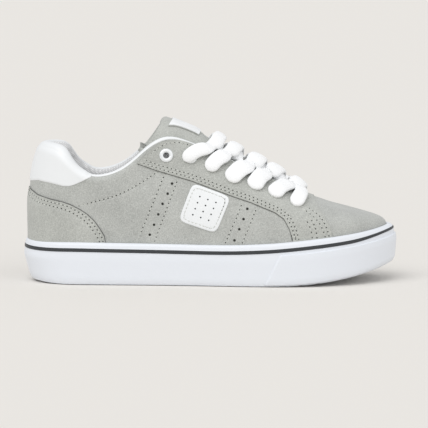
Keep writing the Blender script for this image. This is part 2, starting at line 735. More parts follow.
def rim_pace(u):
    """How far the face runs for each 1 of v, near the rim."""
    one = np.ones_like(u)
    return np.linalg.norm(rib_point(u, one) - rib_point(u, one * NEAR_RIM), axis=-1) / (1 - NEAR_RIM)


def behind_front_edge(point):
    """Whether points lie behind the front edge of the eyestay's legs."""
    table = np.array(EYESTAY_FRONT_EDGE)
    seam = np.interp(point[..., 2], table[:, 1] * INSTEP_HEIGHT, table[:, 0] * LENGTH - LENGTH / 2)
    return point[..., 0] < seam


def crest_turn(u):
    """How far the rolled rim turns, from the outer face, to reach its highest line."""
    _, normal, rise = rim_frame(u)
    return np.arctan2(rise[..., 2], normal[..., 2])


def over_rim(u, travel, out=0.0):
    """A point at a distance over the rim: below 0 on the outer face, then round the roll, then on the inner face."""
    edge, normal, rise = rim_frame(u)
    radius = wall_at(u, np.ones_like(u)) / 2
    pace = rim_pace(u)
    roll = math.pi * radius
    out = np.broadcast_to(out, travel.shape)
    v_out = np.clip(1 + np.minimum(travel, 0) / pace, 0, 1)
    v_in = np.clip(1 - np.maximum(travel - roll, 0) / pace, 0, 1)
    turn = np.clip(travel / radius, 0, math.pi)
    on_roll = edge - normal * radius[..., None]
    on_roll = on_roll + (radius + out)[..., None] * (
        normal * np.cos(turn)[..., None] + rise * np.sin(turn)[..., None]
    )
    outer = skin(u, v_out, out)
    inner = skin(u, v_in, -(wall_at(u, v_in) + out))
    result = np.where((travel < 0)[..., None], outer, on_roll)
    return np.where((travel > roll)[..., None], inner, result)


def seen_at(u, v, tilt):
    """Where places of the face show from the side, tipped by an angle: x and height."""
    point = rib_point(u, v)
    return np.stack([point[:, 0], point[:, 2] * math.cos(tilt) + point[:, 1] * math.sin(tilt)], 1)


def nearer(u, v, target, tilt):
    """Places moved so that they show nearer to a target."""
    along = (seen_at(u + NUDGE, v, tilt) - seen_at(u - NUDGE, v, tilt)) / (2 * NUDGE)
    rise = (seen_at(u, v + NUDGE, tilt) - seen_at(u, v - NUDGE, tilt)) / (2 * NUDGE)
    size = along[:, 0] * rise[:, 1] - along[:, 1] * rise[:, 0]
    miss = target - seen_at(u, v, tilt)
    du = (miss[:, 0] * rise[:, 1] - miss[:, 1] * rise[:, 0]) / size
    dv = (along[:, 0] * miss[:, 1] - along[:, 1] * miss[:, 0]) / size
    u = u + np.clip(du, -SEARCH_PLACE, SEARCH_PLACE)
    return u, np.clip(v + np.clip(dv, -SEARCH_LEVEL, SEARCH_LEVEL), 0.0, 1.0)


def on_outer_side(x, height, tilt=0.0):
    """Places (u, v) of the outer side that show at x and height from the side, tipped by an angle."""
    u, v = np.meshgrid(
        np.linspace(SEARCH_MARGINS[0], TOE - SEARCH_MARGINS[1], SEARCH_GRID[0]),
        np.linspace(0.0, SEARCH_TOP, SEARCH_GRID[1]), indexing="ij",
    )
    u, v = u.ravel(), v.ravel()
    seen = seen_at(u, v, tilt)
    target = np.stack([x, height], 1)
    nearest = [np.argmin(np.sum((seen - place)**2, 1)) for place in target]
    u, v = u[nearest], v[nearest]
    for _ in range(SEARCH_STEPS):
        u, v = nearer(u, v, target, tilt)
    return u, v


def slide(u, v, travel):
    """Moves places along the face by distances in space."""
    along = (rib_point(u + NUDGE, v) - rib_point(u - NUDGE, v)) / (2 * NUDGE)
    rise = (rib_point(u, v + NUDGE) - rib_point(u, v - NUDGE)) / (2 * NUDGE)
    aa, ar, rr = [np.sum(a * b, -1) for a, b in ((along, along), (along, rise), (rise, rise))]
    ta, tr = np.sum(travel * along, -1), np.sum(travel * rise, -1)
    size = aa * rr - ar**2
    return u + (ta * rr - tr * ar) / size, np.clip(v + (tr * aa - ta * ar) / size, 0, 1)


def beside(u, v, distance):
    """The line of places at a distance to the left of a line of places, along the face."""
    points = rib_point(u, v)
    along = unit(np.gradient(points, axis=0))
    left = unit(np.cross(face_normal(u, v), along))
    return slide(u, v, left * distance)


def smooth_line(places, count):
    """A smooth open curve through places, at even shares of its length."""
    places = np.array(places, dtype=float)
    at = travelled(places)
    slopes = np.gradient(places, at, axis=0)
    where = np.linspace(0, at[-1], count)
    low = np.clip(np.searchsorted(at, where, side="right") - 1, 0, len(at) - 2)
    span = (at[low + 1] - at[low])[:, None]
    return cubic(places, slopes, low, (where - at[low])[:, None] / span, span)


def refine(grid, times):
    """A grid of points read more finely along its first axis, on smooth curves."""
    count = (len(grid) - 1) * times + 1
    place = np.linspace(0, len(grid) - 1, count)
    low = np.minimum(place.astype(int), len(grid) - 2)
    t = (place - low).reshape(-1, *[1] * (grid.ndim - 1))
    return cubic(grid, np.gradient(grid, axis=0), low, t)


# Meshes

def join_sheets(name, sheets):
    """One mesh from sheets, each a grid of points, welded where they meet, with its faces turned outward."""
    points, faces, start = [], [], 0
    for sheet in sheets:
        rows, count = sheet.shape[:2]
        index = start + np.arange(rows * count).reshape(rows, count)
        quads = np.stack([index[:-1, :-1], index[:-1, 1:], index[1:, 1:], index[1:, :-1]], -1)
        points.append(sheet.reshape(-1, 3))
        faces.append(quads.reshape(-1, 4))
        start += rows * count
    mesh = bpy.data.meshes.new(name)
    mesh.from_pydata(np.concatenate(points).tolist(), [], np.concatenate(faces).tolist())
    shape = bmesh.new()
    shape.from_mesh(mesh)
    bmesh.ops.remove_doubles(shape, verts=shape.verts, dist=WELD)
    bmesh.ops.dissolve_degenerate(shape, edges=shape.edges, dist=WELD / 2)
    bmesh.ops.recalc_face_normals(shape, faces=shape.faces)
    shape.to_mesh(mesh)
    shape.free()
    return mesh


def add_piece(name, mesh, material, replaced=(), sharp=50):
    """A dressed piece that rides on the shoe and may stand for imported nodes."""
    mesh.shade_smooth()
    mesh.set_sharp_from_angle(angle=math.radians(sharp))
    piece = bpy.data.objects.new(name, mesh)
    bpy.context.scene.collection.objects.link(piece)
    piece.data.materials.append(bpy.data.materials[material])
    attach(piece, "root")
    if replaced:
        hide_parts(*replaced)
    return piece


def shell_mesh(name, outer, inner, closed):
    """A thin closed shell from its outer and inner grid: rows run up the shoe, columns round it."""
    if closed:
        outer, inner = closed_round(outer), closed_round(inner)
    sides = [np.stack([outer[k], inner[k]]) for k in (0, -1)]
    if not closed:
        sides += [np.stack([outer[:, k], inner[:, k]]) for k in (0, -1)]
    return join_sheets(name, [outer, inner, *sides])


def tube_rings(path, normals, widths, heights, sides, squareness):
    """Rings of an oval section along a path: width across the path, height along its normals."""
    along = unit(np.gradient(path, axis=0))
    over = unit(np.cross(along, normals))
    for _ in range(SMOOTHINGS):
        over[1:-1] = unit(over[:-2] + 2 * over[1:-1] + over[2:])
    up = unit(np.cross(over, along))
    turn = np.linspace(0, 2 * math.pi, sides + 1)
    flat = np.sign(np.cos(turn)) * np.abs(np.cos(turn))**(2 / squareness)
    tall = np.sign(np.sin(turn)) * np.abs(np.sin(turn))**(2 / squareness)
    return (
        path[:, None] + over[:, None] * (flat[:, None] * widths[:, None, None] / 2)
        + up[:, None] * (tall[:, None] * heights[:, None, None] / 2)
    )


def capped(rings):
    """Sheets of a closed tube from its rings."""
    ends = [np.stack([ring, np.repeat(ring[:-1].mean(0)[None], len(ring), 0)]) for ring in (rings[0], rings[-1])]
    return [rings, *ends]


def turned_to(normal):
    """Matrix that turns Z to a normal."""
    return Vector(normal).to_track_quat("Z", "Y").to_matrix()


def scatter(shape_points, shape_faces, places, along, normals):
    """Many copies of one small shape as one mesh, each turned to its line and its normal."""
    over = np.cross(normals, along)
    turn = np.stack([along, over, normals], -1)
    points = places[:, None] + np.einsum("nij,kj->nki", turn, shape_points)
    count = len(shape_points)
    faces = [[k * count + i for i in face] for k in range(len(places)) for face in shape_faces]
    return points.reshape(-1, 3), faces


def small_mesh(name, parts):
    """One mesh from (points, faces) parts."""
    points, faces, start = [], [], 0
    for some_points, some_faces in parts:
        points.append(some_points)
        faces += [[start + i for i in face] for face in some_faces]
        start += len(some_points)
    mesh = bpy.data.meshes.new(name)
    mesh.from_pydata(np.concatenate(points).tolist(), [], faces)
    return mesh


def turned_shape(profile, sides):
    """Points and faces of a small closed shape turned round its own X axis: profile holds (x, radius, lift)."""
    turn = np.linspace(0, 2 * math.pi, sides, endpoint=False)
    points, faces = [(profile[0][0], 0.0, profile[0][2])], []
    for x, radius, lift in profile[1:-1]:
        points += [(x, radius * math.cos(a), lift + radius * math.sin(a)) for a in turn]
    points.append((profile[-1][0], 0.0, profile[-1][2]))
    rings = len(profile) - 2
    for k in range(sides):
        following = (k + 1) % sides
        faces.append((0, 1 + following, 1 + k))
        for ring in range(rings - 1):
            a = 1 + ring * sides
            faces.append((a + k, a + following, a + sides + following, a + sides + k))
        last = 1 + (rings - 1) * sides
        faces.append((last + k, last + following, len(points) - 1))
    return np.array(points), faces


def dome_shape(radius, height, sides):
    """Points and faces of a low closed dome: dark, it reads as a hole."""
    turn = np.linspace(0, 2 * math.pi, sides, endpoint=False)
    points = [(0, 0, height)]
    points += [(radius * 0.7 * math.cos(a), radius * 0.7 * math.sin(a), height * 0.8) for a in turn]
    points += [(radius * math.cos(a), radius * math.sin(a), 0) for a in turn]
    points.append((0, 0, -height))
    faces = []
    for k in range(sides):
        following = (k + 1) % sides
        faces.append((0, 1 + k, 1 + following))
        faces.append((1 + k, 1 + sides + k, 1 + sides + following, 1 + following))
        faces.append((1 + sides + k, len(points) - 1, 1 + sides + following))
    return np.array(points), faces


# Seams

# A row of stitches: its places, and how far above the suede it lies
Thread = namedtuple("Thread", "u v out", defaults=(0.0,))


def both_sides(thread):
    """A row of stitches and its twin on the other side."""
    return [thread, thread._replace(u=COUNT - thread.u)]


def seen_row(places):
    """A row of the quarter from its places on the outer side."""
    x, height = smooth_line(places, ROW_POINTS).T * MM
    return on_outer_side(x - LENGTH / 2, height, VIEW_TILT)


def edge_row(edge, start, end, side):
    """The line of an edge on one side of the shoe, from one distance from the heel to another."""
    table = np.array(edge)
    table = table * (LENGTH, INSTEP_HEIGHT) - (LENGTH / 2, 0)
    keep = smooth_line(table, EDGE_POINTS)
    keep = keep[(keep[:, 0] >= start - LENGTH / 2) & (keep[:, 0] <= end - LENGTH / 2)]
    u, v = on_outer_side(keep[:, 0], keep[:, 1])
    if side > 0:
        return u, v
    u = COUNT - u
    for _ in range(MIRROR_STEPS):
        u, v = nearer(u, v, keep, 0.0)
    return u, v


def thinned(u, v):
    """Drops the places of a line that lie under the side wall or past the rim."""
    keep = (v > 1 - LAST_STITCH_LEVEL) & (v < LAST_STITCH_LEVEL)
    return u[keep], v[keep]


def counter_rise(distance):
    """Height of the heel counter's face over the upper: it thins towards its edge."""
    edge = COUNTER_EDGE_SHARE
    return COUNTER_OVERLAY * (edge + (1 - edge) * smooth_step(distance / COUNTER_EDGE_WIDTH))


def all_threads():
    """Every row of stitches on the upper."""
    threads = []
    for places in QUARTER_ROWS.values():
        threads += both_sides(Thread(*thinned(*seen_row(places))))
    for places in TOE_ROWS.values():
        threads += both_sides(Thread(*thinned(*seen_row(places)), out=OVERLAY))
    for side in (1, -1):
        rear = edge_row(EYESTAY_REAR_EDGE, 0.091, 0.2165, side)
        for distance in EYESTAY_ROW_DISTANCES:
            threads.append(Thread(*thinned(*beside(*rear, side * distance)), out=OVERLAY))
        counter = edge_row(COUNTER_EDGE, 0.004, 0.0675, side)
        for distance in COUNTER_ROW_DISTANCES:
            out = counter_rise(np.array(distance))
            threads.append(Thread(*thinned(*beside(*counter, -side * distance)), out=out))
        throat = np.linspace(CORNER_STATION - 1.0, TOE - 1.4, 60)
        throat = throat if side > 0 else COUNT - throat
        threads.append(Thread(throat, rim_level(throat, THROAT_ROW_DISTANCE), out=OVERLAY))
    return threads


def stitch_places(thread, pitch):
    """Middles, directions and normals of the stitches of a row, at an even pitch."""
    points = skin(thread.u, thread.v)
    travel = travelled(points)
    count = max(int(travel[-1] / pitch), 1)
    at = (np.arange(count) + 0.5) * travel[-1] / count
    u, v = np.interp(at, travel, thread.u), np.interp(at, travel, thread.v)
    du, dv = [
        (np.interp(at + STITCH_AHEAD, travel, line) - np.interp(at - STITCH_AHEAD, travel, line)) / 2
        for line in (thread.u, thread.v)
    ]
    middle = skin(u, v, thread.out + creases(skin(u, v)))
    normal = face_normal(u, v)
    along = rib_point(u + du, np.clip(v + dv, 0, 1)) - rib_point(u - du, v - dv)
    along = unit(along - normal * np.sum(along * normal, -1, keepdims=True))
    return middle, along, normal


def tree_of(points):
    """Tree for finding the nearest of many points."""
    tree = KDTree(len(points))
    for k, point in enumerate(points):
        tree.insert(Vector(point), k)
    tree.balance()
    return tree


def distances(tree, points):
    """Distance from each point to the nearest point of a tree."""
    away = [tree.find(Vector(point))[2] for point in points.reshape(-1, 3)]
    return np.array(away).reshape(points.shape[:-1])


def seam_tree():
    """Tree of points along every seam, for sinking the suede along it."""
    return tree_of(np.concatenate([rib_point(thread.u, thread.v) for thread in all_threads()]))


def sink_at(tree, points):
    """How far the suede is pulled in at points, by the seams near them."""
    return SEAM_SINK * np.exp(-(distances(tree, points) / SEAM_SINK_WIDTH)**2)


def creases(points):
    """Soft bends of the vamp behind the toe and of the quarters, in metres out of the face."""
    x, y, z = points[..., 0] + LENGTH / 2, points[..., 1], points[..., 2]
    flex = 0.00030 * np.sin((x - 0.236 + 0.25 * np.abs(y)) / 0.0045) * np.exp(-((x - 0.240) / 0.012)**2)
    arch = 0.00040 * np.sin(x / 0.021 + 0.9) * np.exp(-((z - 0.055) / 0.020)**2)
    return flex * np.exp(-((z - 0.056) / 0.010)**2) + arch * smooth_step((0.22 - x) / 0.05)


# Finishes

def from_hex(code):
    """Linear colour from an sRGB hex code."""
    shares = [int(code[k:k + 2], 16) / 255 for k in (0, 2, 4)]
    return [c / 12.92 if c <= 0.04045 else ((c + 0.055) / 1.055)**2.4 for c in shares]


def add_node(tree, kind, inputs=(), **settings):
    """A node with its settings, and with values or links on its sockets."""
    made = tree.nodes.new(kind)
    for name, value in settings.items():
        setattr(made, name, value)
    for socket, value in inputs:
        if isinstance(value, bpy.types.NodeSocket):
            tree.links.new(value, made.inputs[socket])
        else:
            made.inputs[socket].default_value = value
    return made


def start_material(name, **sockets):
    """A material and its shader, with plain values on the shader's own sockets."""
    material = bpy.data.materials.new(name)
    material.use_nodes = True
    tree = material.node_tree
    shader = tree.nodes["Principled BSDF"]
    for socket, value in sockets.items():
        shader.inputs[socket.replace("_", " ")].default_value = value
    return tree, shader


def shift_colour(colour, factor):
    return [min(max(c * factor, 0.0), 1.0) for c in colour[:3]] + [1.0]


def suede(name, colour):
    """Split suede, buffed: a matt nap whose fibres lie this way and that, so it looks cloudy and fine-grained."""
    tree, shader = start_material(name, Roughness=0.95, Sheen_Weight=0.25, Sheen_Roughness=0.45)
    shader.inputs["Specular IOR Level"].default_value = 0.25
    place = add_node(tree, "ShaderNodeTexCoord").outputs["Object"]
    cloud = add_node(tree, "ShaderNodeTexNoise", (("Vector", place), ("Scale", 45.0), ("Detail", 3.0)))
    # Fibre tufts are about 0.3 mm across; drawn at 0.9 mm so that they show
    tufts = add_node(tree, "ShaderNodeTexNoise", (
        ("Vector", place), ("Scale", 1100.0), ("Detail", 5.0), ("Roughness", 0.7),
    ))
    mixed = add_node(tree, "ShaderNodeMix", (
        ("Factor", 0.80), ("A", cloud.outputs["Fac"]), ("B", tufts.outputs["Fac"]),
    ))
    ramp = add_node(tree, "ShaderNodeValToRGB", ((0, mixed.outputs[0]),))
    low, high = ramp.color_ramp.elements
    low.position, high.position = 0.38, 0.62
    low.color, high.color = shift_colour(colour, 0.78), shift_colour(colour, 1.20)
    tree.links.new(ramp.outputs["Color"], shader.inputs["Base Color"])
    bump = add_node(tree, "ShaderNodeBump", (
        ("Strength", 0.5), ("Distance", 0.0004), ("Height", tufts.outputs["Fac"]),
    ))
    tree.links.new(bump.outputs["Normal"], shader.inputs["Normal"])


def grained_leather(name, colour, roughness):
    """Corrected-grain leather with a white top coat: smooth, with a fine pebble and a soft gloss."""
    tree, shader = start_material(name, Roughness=roughness, Coat_Weight=0.15, Coat_Roughness=0.35)
    place = add_node(tree, "ShaderNodeTexCoord").outputs["Object"]
    # Pebbles are about 0.5 mm; drawn at 0.9 mm so that they show
    pebble = add_node(tree, "ShaderNodeTexVoronoi", (("Vector", place), ("Scale", 1100.0)))
    soft = add_node(tree, "ShaderNodeTexNoise", (("Vector", place), ("Scale", 60.0), ("Detail", 2.0)))
    ramp = add_node(tree, "ShaderNodeValToRGB", ((0, soft.outputs["Fac"]),))
    low, high = ramp.color_ramp.elements
    low.position, high.position = 0.35, 0.65
    low.color, high.color = shift_colour(colour, 0.95), shift_colour(colour, 1.03)
    tree.links.new(ramp.outputs["Color"], shader.inputs["Base Color"])
    bump = add_node(tree, "ShaderNodeBump", (
        ("Strength", 0.25), ("Distance", 0.0002), ("Height", pebble.outputs["Distance"]),
    ))
    tree.links.new(bump.outputs["Normal"], shader.inputs["Normal"])


def moulded_rubber(name, colour, roughness, dust):
    """Vulcanised rubber from a smooth mould: an even satin with the faintest ripple and bloom."""
    tree, shader = start_material(name, Roughness=roughness)
    shader.inputs["Specular IOR Level"].default_value = 0.4
    place = add_node(tree, "ShaderNodeTexCoord").outputs["Object"]
    bloom = add_node(tree, "ShaderNodeTexNoise", (("Vector", place), ("Scale", 35.0), ("Detail", 4.0)))
    ramp = add_node(tree, "ShaderNodeValToRGB", ((0, bloom.outputs["Fac"]),))
    low, high = ramp.color_ramp.elements
    low.position, high.position = 0.35, 0.7
    low.color, high.color = shift_colour(colour, 1 - dust), shift_colour(colour, 1 + dust / 2)
    tree.links.new(ramp.outputs["Color"], shader.inputs["Base Color"])
    ripple = add_node(tree, "ShaderNodeTexNoise", (("Vector", place), ("Scale", 900.0), ("Detail", 2.0)))
    bump = add_node(tree, "ShaderNodeBump", (
        ("Strength", 0.12), ("Distance", 0.0002), ("Height", ripple.outputs["Fac"]),
    ))
    tree.links.new(bump.outputs["Normal"], shader.inputs["Normal"])


def spacer_mesh(name, colour):
    """Knitted polyester lining: fine ribs with little shaded valleys."""
    tree, shader = start_material(name, Roughness=0.9, Sheen_Weight=0.1)
    place = add_node(tree, "ShaderNodeTexCoord").outputs["Object"]
    turned = add_node(tree, "ShaderNodeMapping", (("Vector", place), ("Rotation", (0.0, 0.55, 0.5))))
    # A wave's period is 2 pi / (20 scale): ribs 1.9 mm apart across, 1.3 mm along
    place = turned.outputs[0]
    ribs = add_node(tree, "ShaderNodeTexWave", (("Vector", place), ("Scale", 165.0), ("Distortion", 0.4)))
    cells = add_node(tree, "ShaderNodeTexWave", (("Vector", place), ("Scale", 240.0)), bands_direction="Z")
    both = add_node(tree, "ShaderNodeMath", (
        (0, ribs.outputs["Fac"]), (1, cells.outputs["Fac"]),
    ), operation="MULTIPLY")
    ramp = add_node(tree, "ShaderNodeValToRGB", ((0, both.outputs[0]),))
    low, high = ramp.color_ramp.elements
    low.color, high.color = shift_colour(colour, 0.72), shift_colour(colour, 1.1)
    tree.links.new(ramp.outputs["Color"], shader.inputs["Base Color"])
    bump = add_node(tree, "ShaderNodeBump", (("Strength", 0.6), ("Distance", 0.0005), ("Height", both.outputs[0])))
    tree.links.new(bump.outputs["Normal"], shader.inputs["Normal"])


def braided_cotton(name, colour):
    """Flat braided cotton lace: soft, matt, with the V of its braid along its middle."""
    tree, shader = start_material(name, Roughness=0.88, Sheen_Weight=0.15)
    braid = add_node(tree, "ShaderNodeAttribute", attribute_name="braid").outputs["Vector"]
    split = add_node(tree, "ShaderNodeSeparateXYZ", (("Vector", braid),))
    fold = add_node(tree, "ShaderNodeMath", ((0, split.outputs["Y"]),), operation="ABSOLUTE")
    chevron = add_node(tree, "ShaderNodeMath", ((0, split.outputs["X"]), (1, fold.outputs[0])), operation="ADD")
    # Strands lie 1.1 mm apart; the attribute is in millimetres
    turn = add_node(tree, "ShaderNodeMath", ((0, chevron.outputs[0]), (1, 2 * math.pi / 1.1)), operation="MULTIPLY")
    strand = add_node(tree, "ShaderNodeMath", ((0, turn.outputs[0]),), operation="SINE")
    ramp = add_node(tree, "ShaderNodeMapRange", (
        ("Value", strand.outputs[0]), ("From Min", -1.0), ("From Max", 1.0), ("To Min", 0.0), ("To Max", 1.0),
    ))
    tint = add_node(tree, "ShaderNodeValToRGB", ((0, ramp.outputs["Result"]),))
    low, high = tint.color_ramp.elements
    low.color, high.color = shift_colour(colour, 0.93), shift_colour(colour, 1.02)
    tree.links.new(tint.outputs["Color"], shader.inputs["Base Color"])
    bump = add_node(tree, "ShaderNodeBump", (
        ("Strength", 0.35), ("Distance", 0.0003), ("Height", ramp.outputs["Result"]),
    ))
    tree.links.new(bump.outputs["Normal"], shader.inputs["Normal"])


def spun_thread(name, colour):
    """Bonded polyester thread: twisted, with a dull shine."""
    tree, shader = start_material(name, Roughness=0.6)
    place = add_node(tree, "ShaderNodeTexCoord").outputs["Object"]
    twist = add_node(tree, "ShaderNodeTexWave", (("Vector", place), ("Scale", 500.0)), bands_direction="DIAGONAL")
    ramp = add_node(tree, "ShaderNodeValToRGB", ((0, twist.outputs["Fac"]),))
    low, high = ramp.color_ramp.elements
    low.color, high.color = shift_colour(colour, 0.85), shift_colour(colour, 1.08)
    tree.links.new(ramp.outputs["Color"], shader.inputs["Base Color"])


def needle_hole(name, colour):
    """The shade inside a punched or needle hole: deep, with no shine."""
    tree, shader = start_material(name, Roughness=1.0)
    shader.inputs["Specular IOR Level"].default_value = 0.0
    place = add_node(tree, "ShaderNodeTexCoord").outputs["Object"]
    speck = add_node(tree, "ShaderNodeTexNoise", (("Vector", place), ("Scale", 400.0)))
    ramp = add_node(tree, "ShaderNodeValToRGB", ((0, speck.outputs["Fac"]),))
    low, high = ramp.color_ramp.elements
    low.color, high.color = shift_colour(colour, 0.7), shift_colour(colour, 1.3)
    tree.links.new(ramp.outputs["Color"], shader.inputs["Base Color"])


def baked_enamel(name, colour):
    """Enamelled brass eyelet: white, glossy, slightly wavy from the spray."""
    tree, shader = start_material(name, Roughness=0.28, Coat_Weight=0.4, Coat_Roughness=0.1)
    place = add_node(tree, "ShaderNodeTexCoord").outputs["Object"]
    spray = add_node(tree, "ShaderNodeTexNoise", (("Vector", place), ("Scale", 500.0), ("Detail", 2.0)))
    ramp = add_node(tree, "ShaderNodeValToRGB", ((0, spray.outputs["Fac"]),))
    low, high = ramp.color_ramp.elements
    low.color, high.color = shift_colour(colour, 0.97), shift_colour(colour, 1.02)
    tree.links.new(ramp.outputs["Color"], shader.inputs["Base Color"])
    bump = add_node(tree, "ShaderNodeBump", (
        ("Strength", 0.08), ("Distance", 0.0001), ("Height", spray.outputs["Fac"]),
    ))
    tree.links.new(bump.outputs["Normal"], shader.inputs["Normal"])


def studio_paper(name, colour):
    """Seamless studio paper: matt and even."""
    _, shader = start_material(name, Roughness=1.0)
    shader.inputs["Specular IOR Level"].default_value = 0.0
    shader.inputs["Base Color"].default_value = (*colour[:3], 1)


class ShoeLooks(PropertyGroup):
    suede_colour: FloatVectorProperty(
        name="Suede", description="Colour of the quarters and the vamp", subtype="COLOR", default=from_hex("B6B8B4"),
    )
    overlay_colour: FloatVectorProperty(
        name="Overlays", description="Colour of the eyestay and the heel counter", subtype="COLOR",
        default=from_hex("B6B8B3"),
    )
    tongue_colour: FloatVectorProperty(
        name="Tongue", description="Colour of the tongue", subtype="COLOR", default=from_hex("B4B6B1"),
    )
    leather_colour: FloatVectorProperty(
        name="White leather", description="Colour of the heel panel, the binding and the label", subtype="COLOR",
        default=from_hex("EFF1F2"),
    )
    lining_colour: FloatVectorProperty(
        name="Lining", description="Colour of the lining and the insole", subtype="COLOR", default=from_hex("F4F5F6"),
    )
    rubber_colour: FloatVectorProperty(
        name="White rubber", description="Colour of the sole and its side wall", subtype="COLOR",
        default=from_hex("F2F5FB"),
    )
    stripe_colour: FloatVectorProperty(
        name="Stripe", description="Colour of the stripe round the side wall", subtype="COLOR",
        default=from_hex("2A2D31"),
    )
    lace_colour: FloatVectorProperty(
        name="Laces", description="Colour of the laces", subtype="COLOR", default=from_hex("FBFCFD"),
    )
    paper_colour: FloatVectorProperty(
        name="Paper", description="Colour of the studio paper", subtype="COLOR", default=from_hex("E6E3DE"),
    )
    lace_thickness: FloatProperty(
        name="Lace thickness", description="Thickness of the lace at its middle", unit="LENGTH", default=0.0050,
    )
    stitch_pitch: FloatProperty(
        name="Stitch pitch", description="Distance from one needle hole to the next", unit="LENGTH", default=0.0034,
    )
    thread_width: FloatProperty(
        name="Thread width", description="Diameter of the thread", unit="LENGTH", default=0.0006,
    )
    eyelet_sides: IntProperty(
        name="Eyelet sides", description="Sides of the turned eyelets", default=40, min=12,
    )


# Upper

def rim_rows(u, start, end, count):
    """Grid of (u, travel over the rim) between two distances from the highest line of the rim."""
    radius = wall_at(u, np.ones_like(u)) / 2
    crest = crest_turn(u) * radius
    share = np.linspace(0, 1, count)[:, None]
    travel = (crest + start) * (1 - share) + (crest + end) * share
    return np.broadcast_to(u, travel.shape), travel


def make_upper_suede(tree):
    """Quarters and vamp: a suede shell from inside the side wall up to the binding."""
    u = round_places(480)
    uu, vv = np.broadcast_arrays(u, np.linspace(0, 1, 66)[:, None])
    bare = rib_point(uu, vv)
    relief = creases(bare) - sink_at(tree, bare)
    face = bare + face_normal(uu, vv) * relief[..., None]
    back = skin(uu, vv, -SUEDE)
    roll_u, travel = np.broadcast_arrays(u, rim_rows(u, 0.0, 0.0, 1)[1] * np.linspace(0, 1, 8)[1:, None])
    roll = over_rim(roll_u, travel)
    roll_back = over_rim(roll_u, travel, -SUEDE * SUEDE_AT_RIM)
    sunk = np.array([0.0, 0.0, UPPER_SUNK])
    outer = np.concatenate([face[:1] - sunk, face, roll])
    inner = np.concatenate([back[:1] - sunk, back, roll_back])
    mesh = shell_mesh("upper_suede", outer, inner, True)
    return add_piece("upper_suede", mesh, "split_suede", ("upper",))


def make_lining():
    """Knitted lining from the binding down the inside to the insole."""
    u = round_places(360)
    radius = wall_at(u, np.ones_like(u)) / 2
    crest = crest_turn(u) * radius
    share = np.linspace(0, 1, 12)[:, None]
    travel = crest * (1 - share) + math.pi * radius * share
    roll = np.broadcast_to(u, travel.shape)
    uu, vv = np.broadcast_arrays(u, np.linspace(1, LINING_LOWEST, 40)[1:, None])
    outer = np.concatenate([over_rim(roll, travel, THIN), skin(uu, vv, -(wall_at(uu, vv) + THIN))])
    inner = np.concatenate([over_rim(roll, travel, -LINING), skin(uu, vv, -(wall_at(uu, vv) - LINING))])
    return add_piece("lining", shell_mesh("lining", outer, inner, True), "spacer_mesh")


def make_binding():
    """White binding rolled over the rim, all round the collar and the throat."""
    u = round_places(720)
    share = np.linspace(-1, 1, 15)
    heel = smooth_step((BINDING_HEEL_END - np.minimum(u, COUNT - u)) / BINDING_HEEL_FADE)
    uu, travel = rim_rows(u, -BINDING_OUTSIDE - BINDING_AT_HEEL * heel, BINDING_INSIDE, len(share))
    bulge = (BINDING_BULGE + BINDING_HEEL_BULGE * heel) * np.sqrt(1 - share**2)[:, None] + BINDING_LIFT
    outer = over_rim(uu, travel, np.broadcast_to(bulge, travel.shape))
    mesh = shell_mesh("collar_binding", outer, over_rim(uu, travel, -BINDING_BACK), True)
    return add_piece("collar_binding", mesh, "white_leather")


def overlay_columns(start, end, level, fine):
    """Places from start to end, closer where the edge of the overlay is steep."""
    places = np.linspace(min(start, end), max(start, end), fine)
    steep = np.ones(1)
    while len(steep):
        gaps = np.diff(places)
        steep = np.flatnonzero((np.abs(np.diff(level(places))) > STEEP_STEP) & (gaps > LEAST_GAP))
        places = np.sort(np.append(places, places[steep] + gaps[steep] / 2))
    return places if start < end else places[::-1]


def overlay_mesh(name, u, low, high, thickness, tree, rows):
    """A panel laid on the suede between two levels on each of its columns, with eased edges."""
    v = np.clip(np.linspace(0, 1, rows)[:, None], low, high)
    uu = np.broadcast_to(u, v.shape)
    bare = rib_point(uu, v)
    rise = np.linalg.norm(rib_point(u, np.clip(low + 0.01, 0, 1)) - rib_point(u, np.clip(low, 0, 1)), axis=-1) / 0.01
    relief = creases(bare) - sink_at(tree, bare)
    ease = np.where(low < FOOT_LEVEL, 1.0, eased((v - low) * rise / OVERLAY_EDGE_ROUND))
    out = relief + thickness * (OVERLAY_EDGE_SHARE + (1 - OVERLAY_EDGE_SHARE) * ease)
    normal = face_normal(uu, v)
    outer = bare + normal * out[..., None]
    inner = bare - normal * OVERLAY_BACK
    sunk = np.where(low < FOOT_LEVEL, OVERLAY_SUNK, 0.0)[:, None] * np.array([0.0, 0.0, 1.0])
    outer = np.concatenate([outer[:1] - sunk, outer])
    inner = np.concatenate([inner[:1] - sunk, inner])
    return shell_mesh(name, outer, inner, False)


def rim_level(u, distance):
    """The level v at a distance below the end of the outer face."""
    return 1 - distance / rim_pace(u)


def add_raw_edges(name, lines):
    """The cut edge of a panel, darker than its nap, along lines of places."""
    sheets = []
    for u, v in lines:
        path = skin(u, v, creases(skin(u, v)) + RAW_EDGE_WIDTH * 0.35)
        at = travelled(path)
        where = np.linspace(0, at[-1], max(int(at[-1] / RAW_EDGE_STEP), 8))
        path = np.stack([np.interp(where, at, path[:, k]) for k in range(3)], 1)
        normals = face_normal(np.interp(where, at, u), np.interp(where, at, v))
        size = np.full(len(where), RAW_EDGE_WIDTH)
        sheets += capped(tube_rings(path, normals, size, size, 8, 2))
    add_piece(name, join_sheets(name, sheets), "cut_suede")


def eyestay_low(u):
    """Level of the eyestay's lower edge: it runs down to the side wall at the legs."""
    base = rib_point(u, np.full_like(u, 0.0))
    rear = crossing(u, above_edge(EYESTAY_REAR_EDGE))
    front = crossing(u, behind_front_edge)
    return np.where(behind_front_edge(base), rear, front)


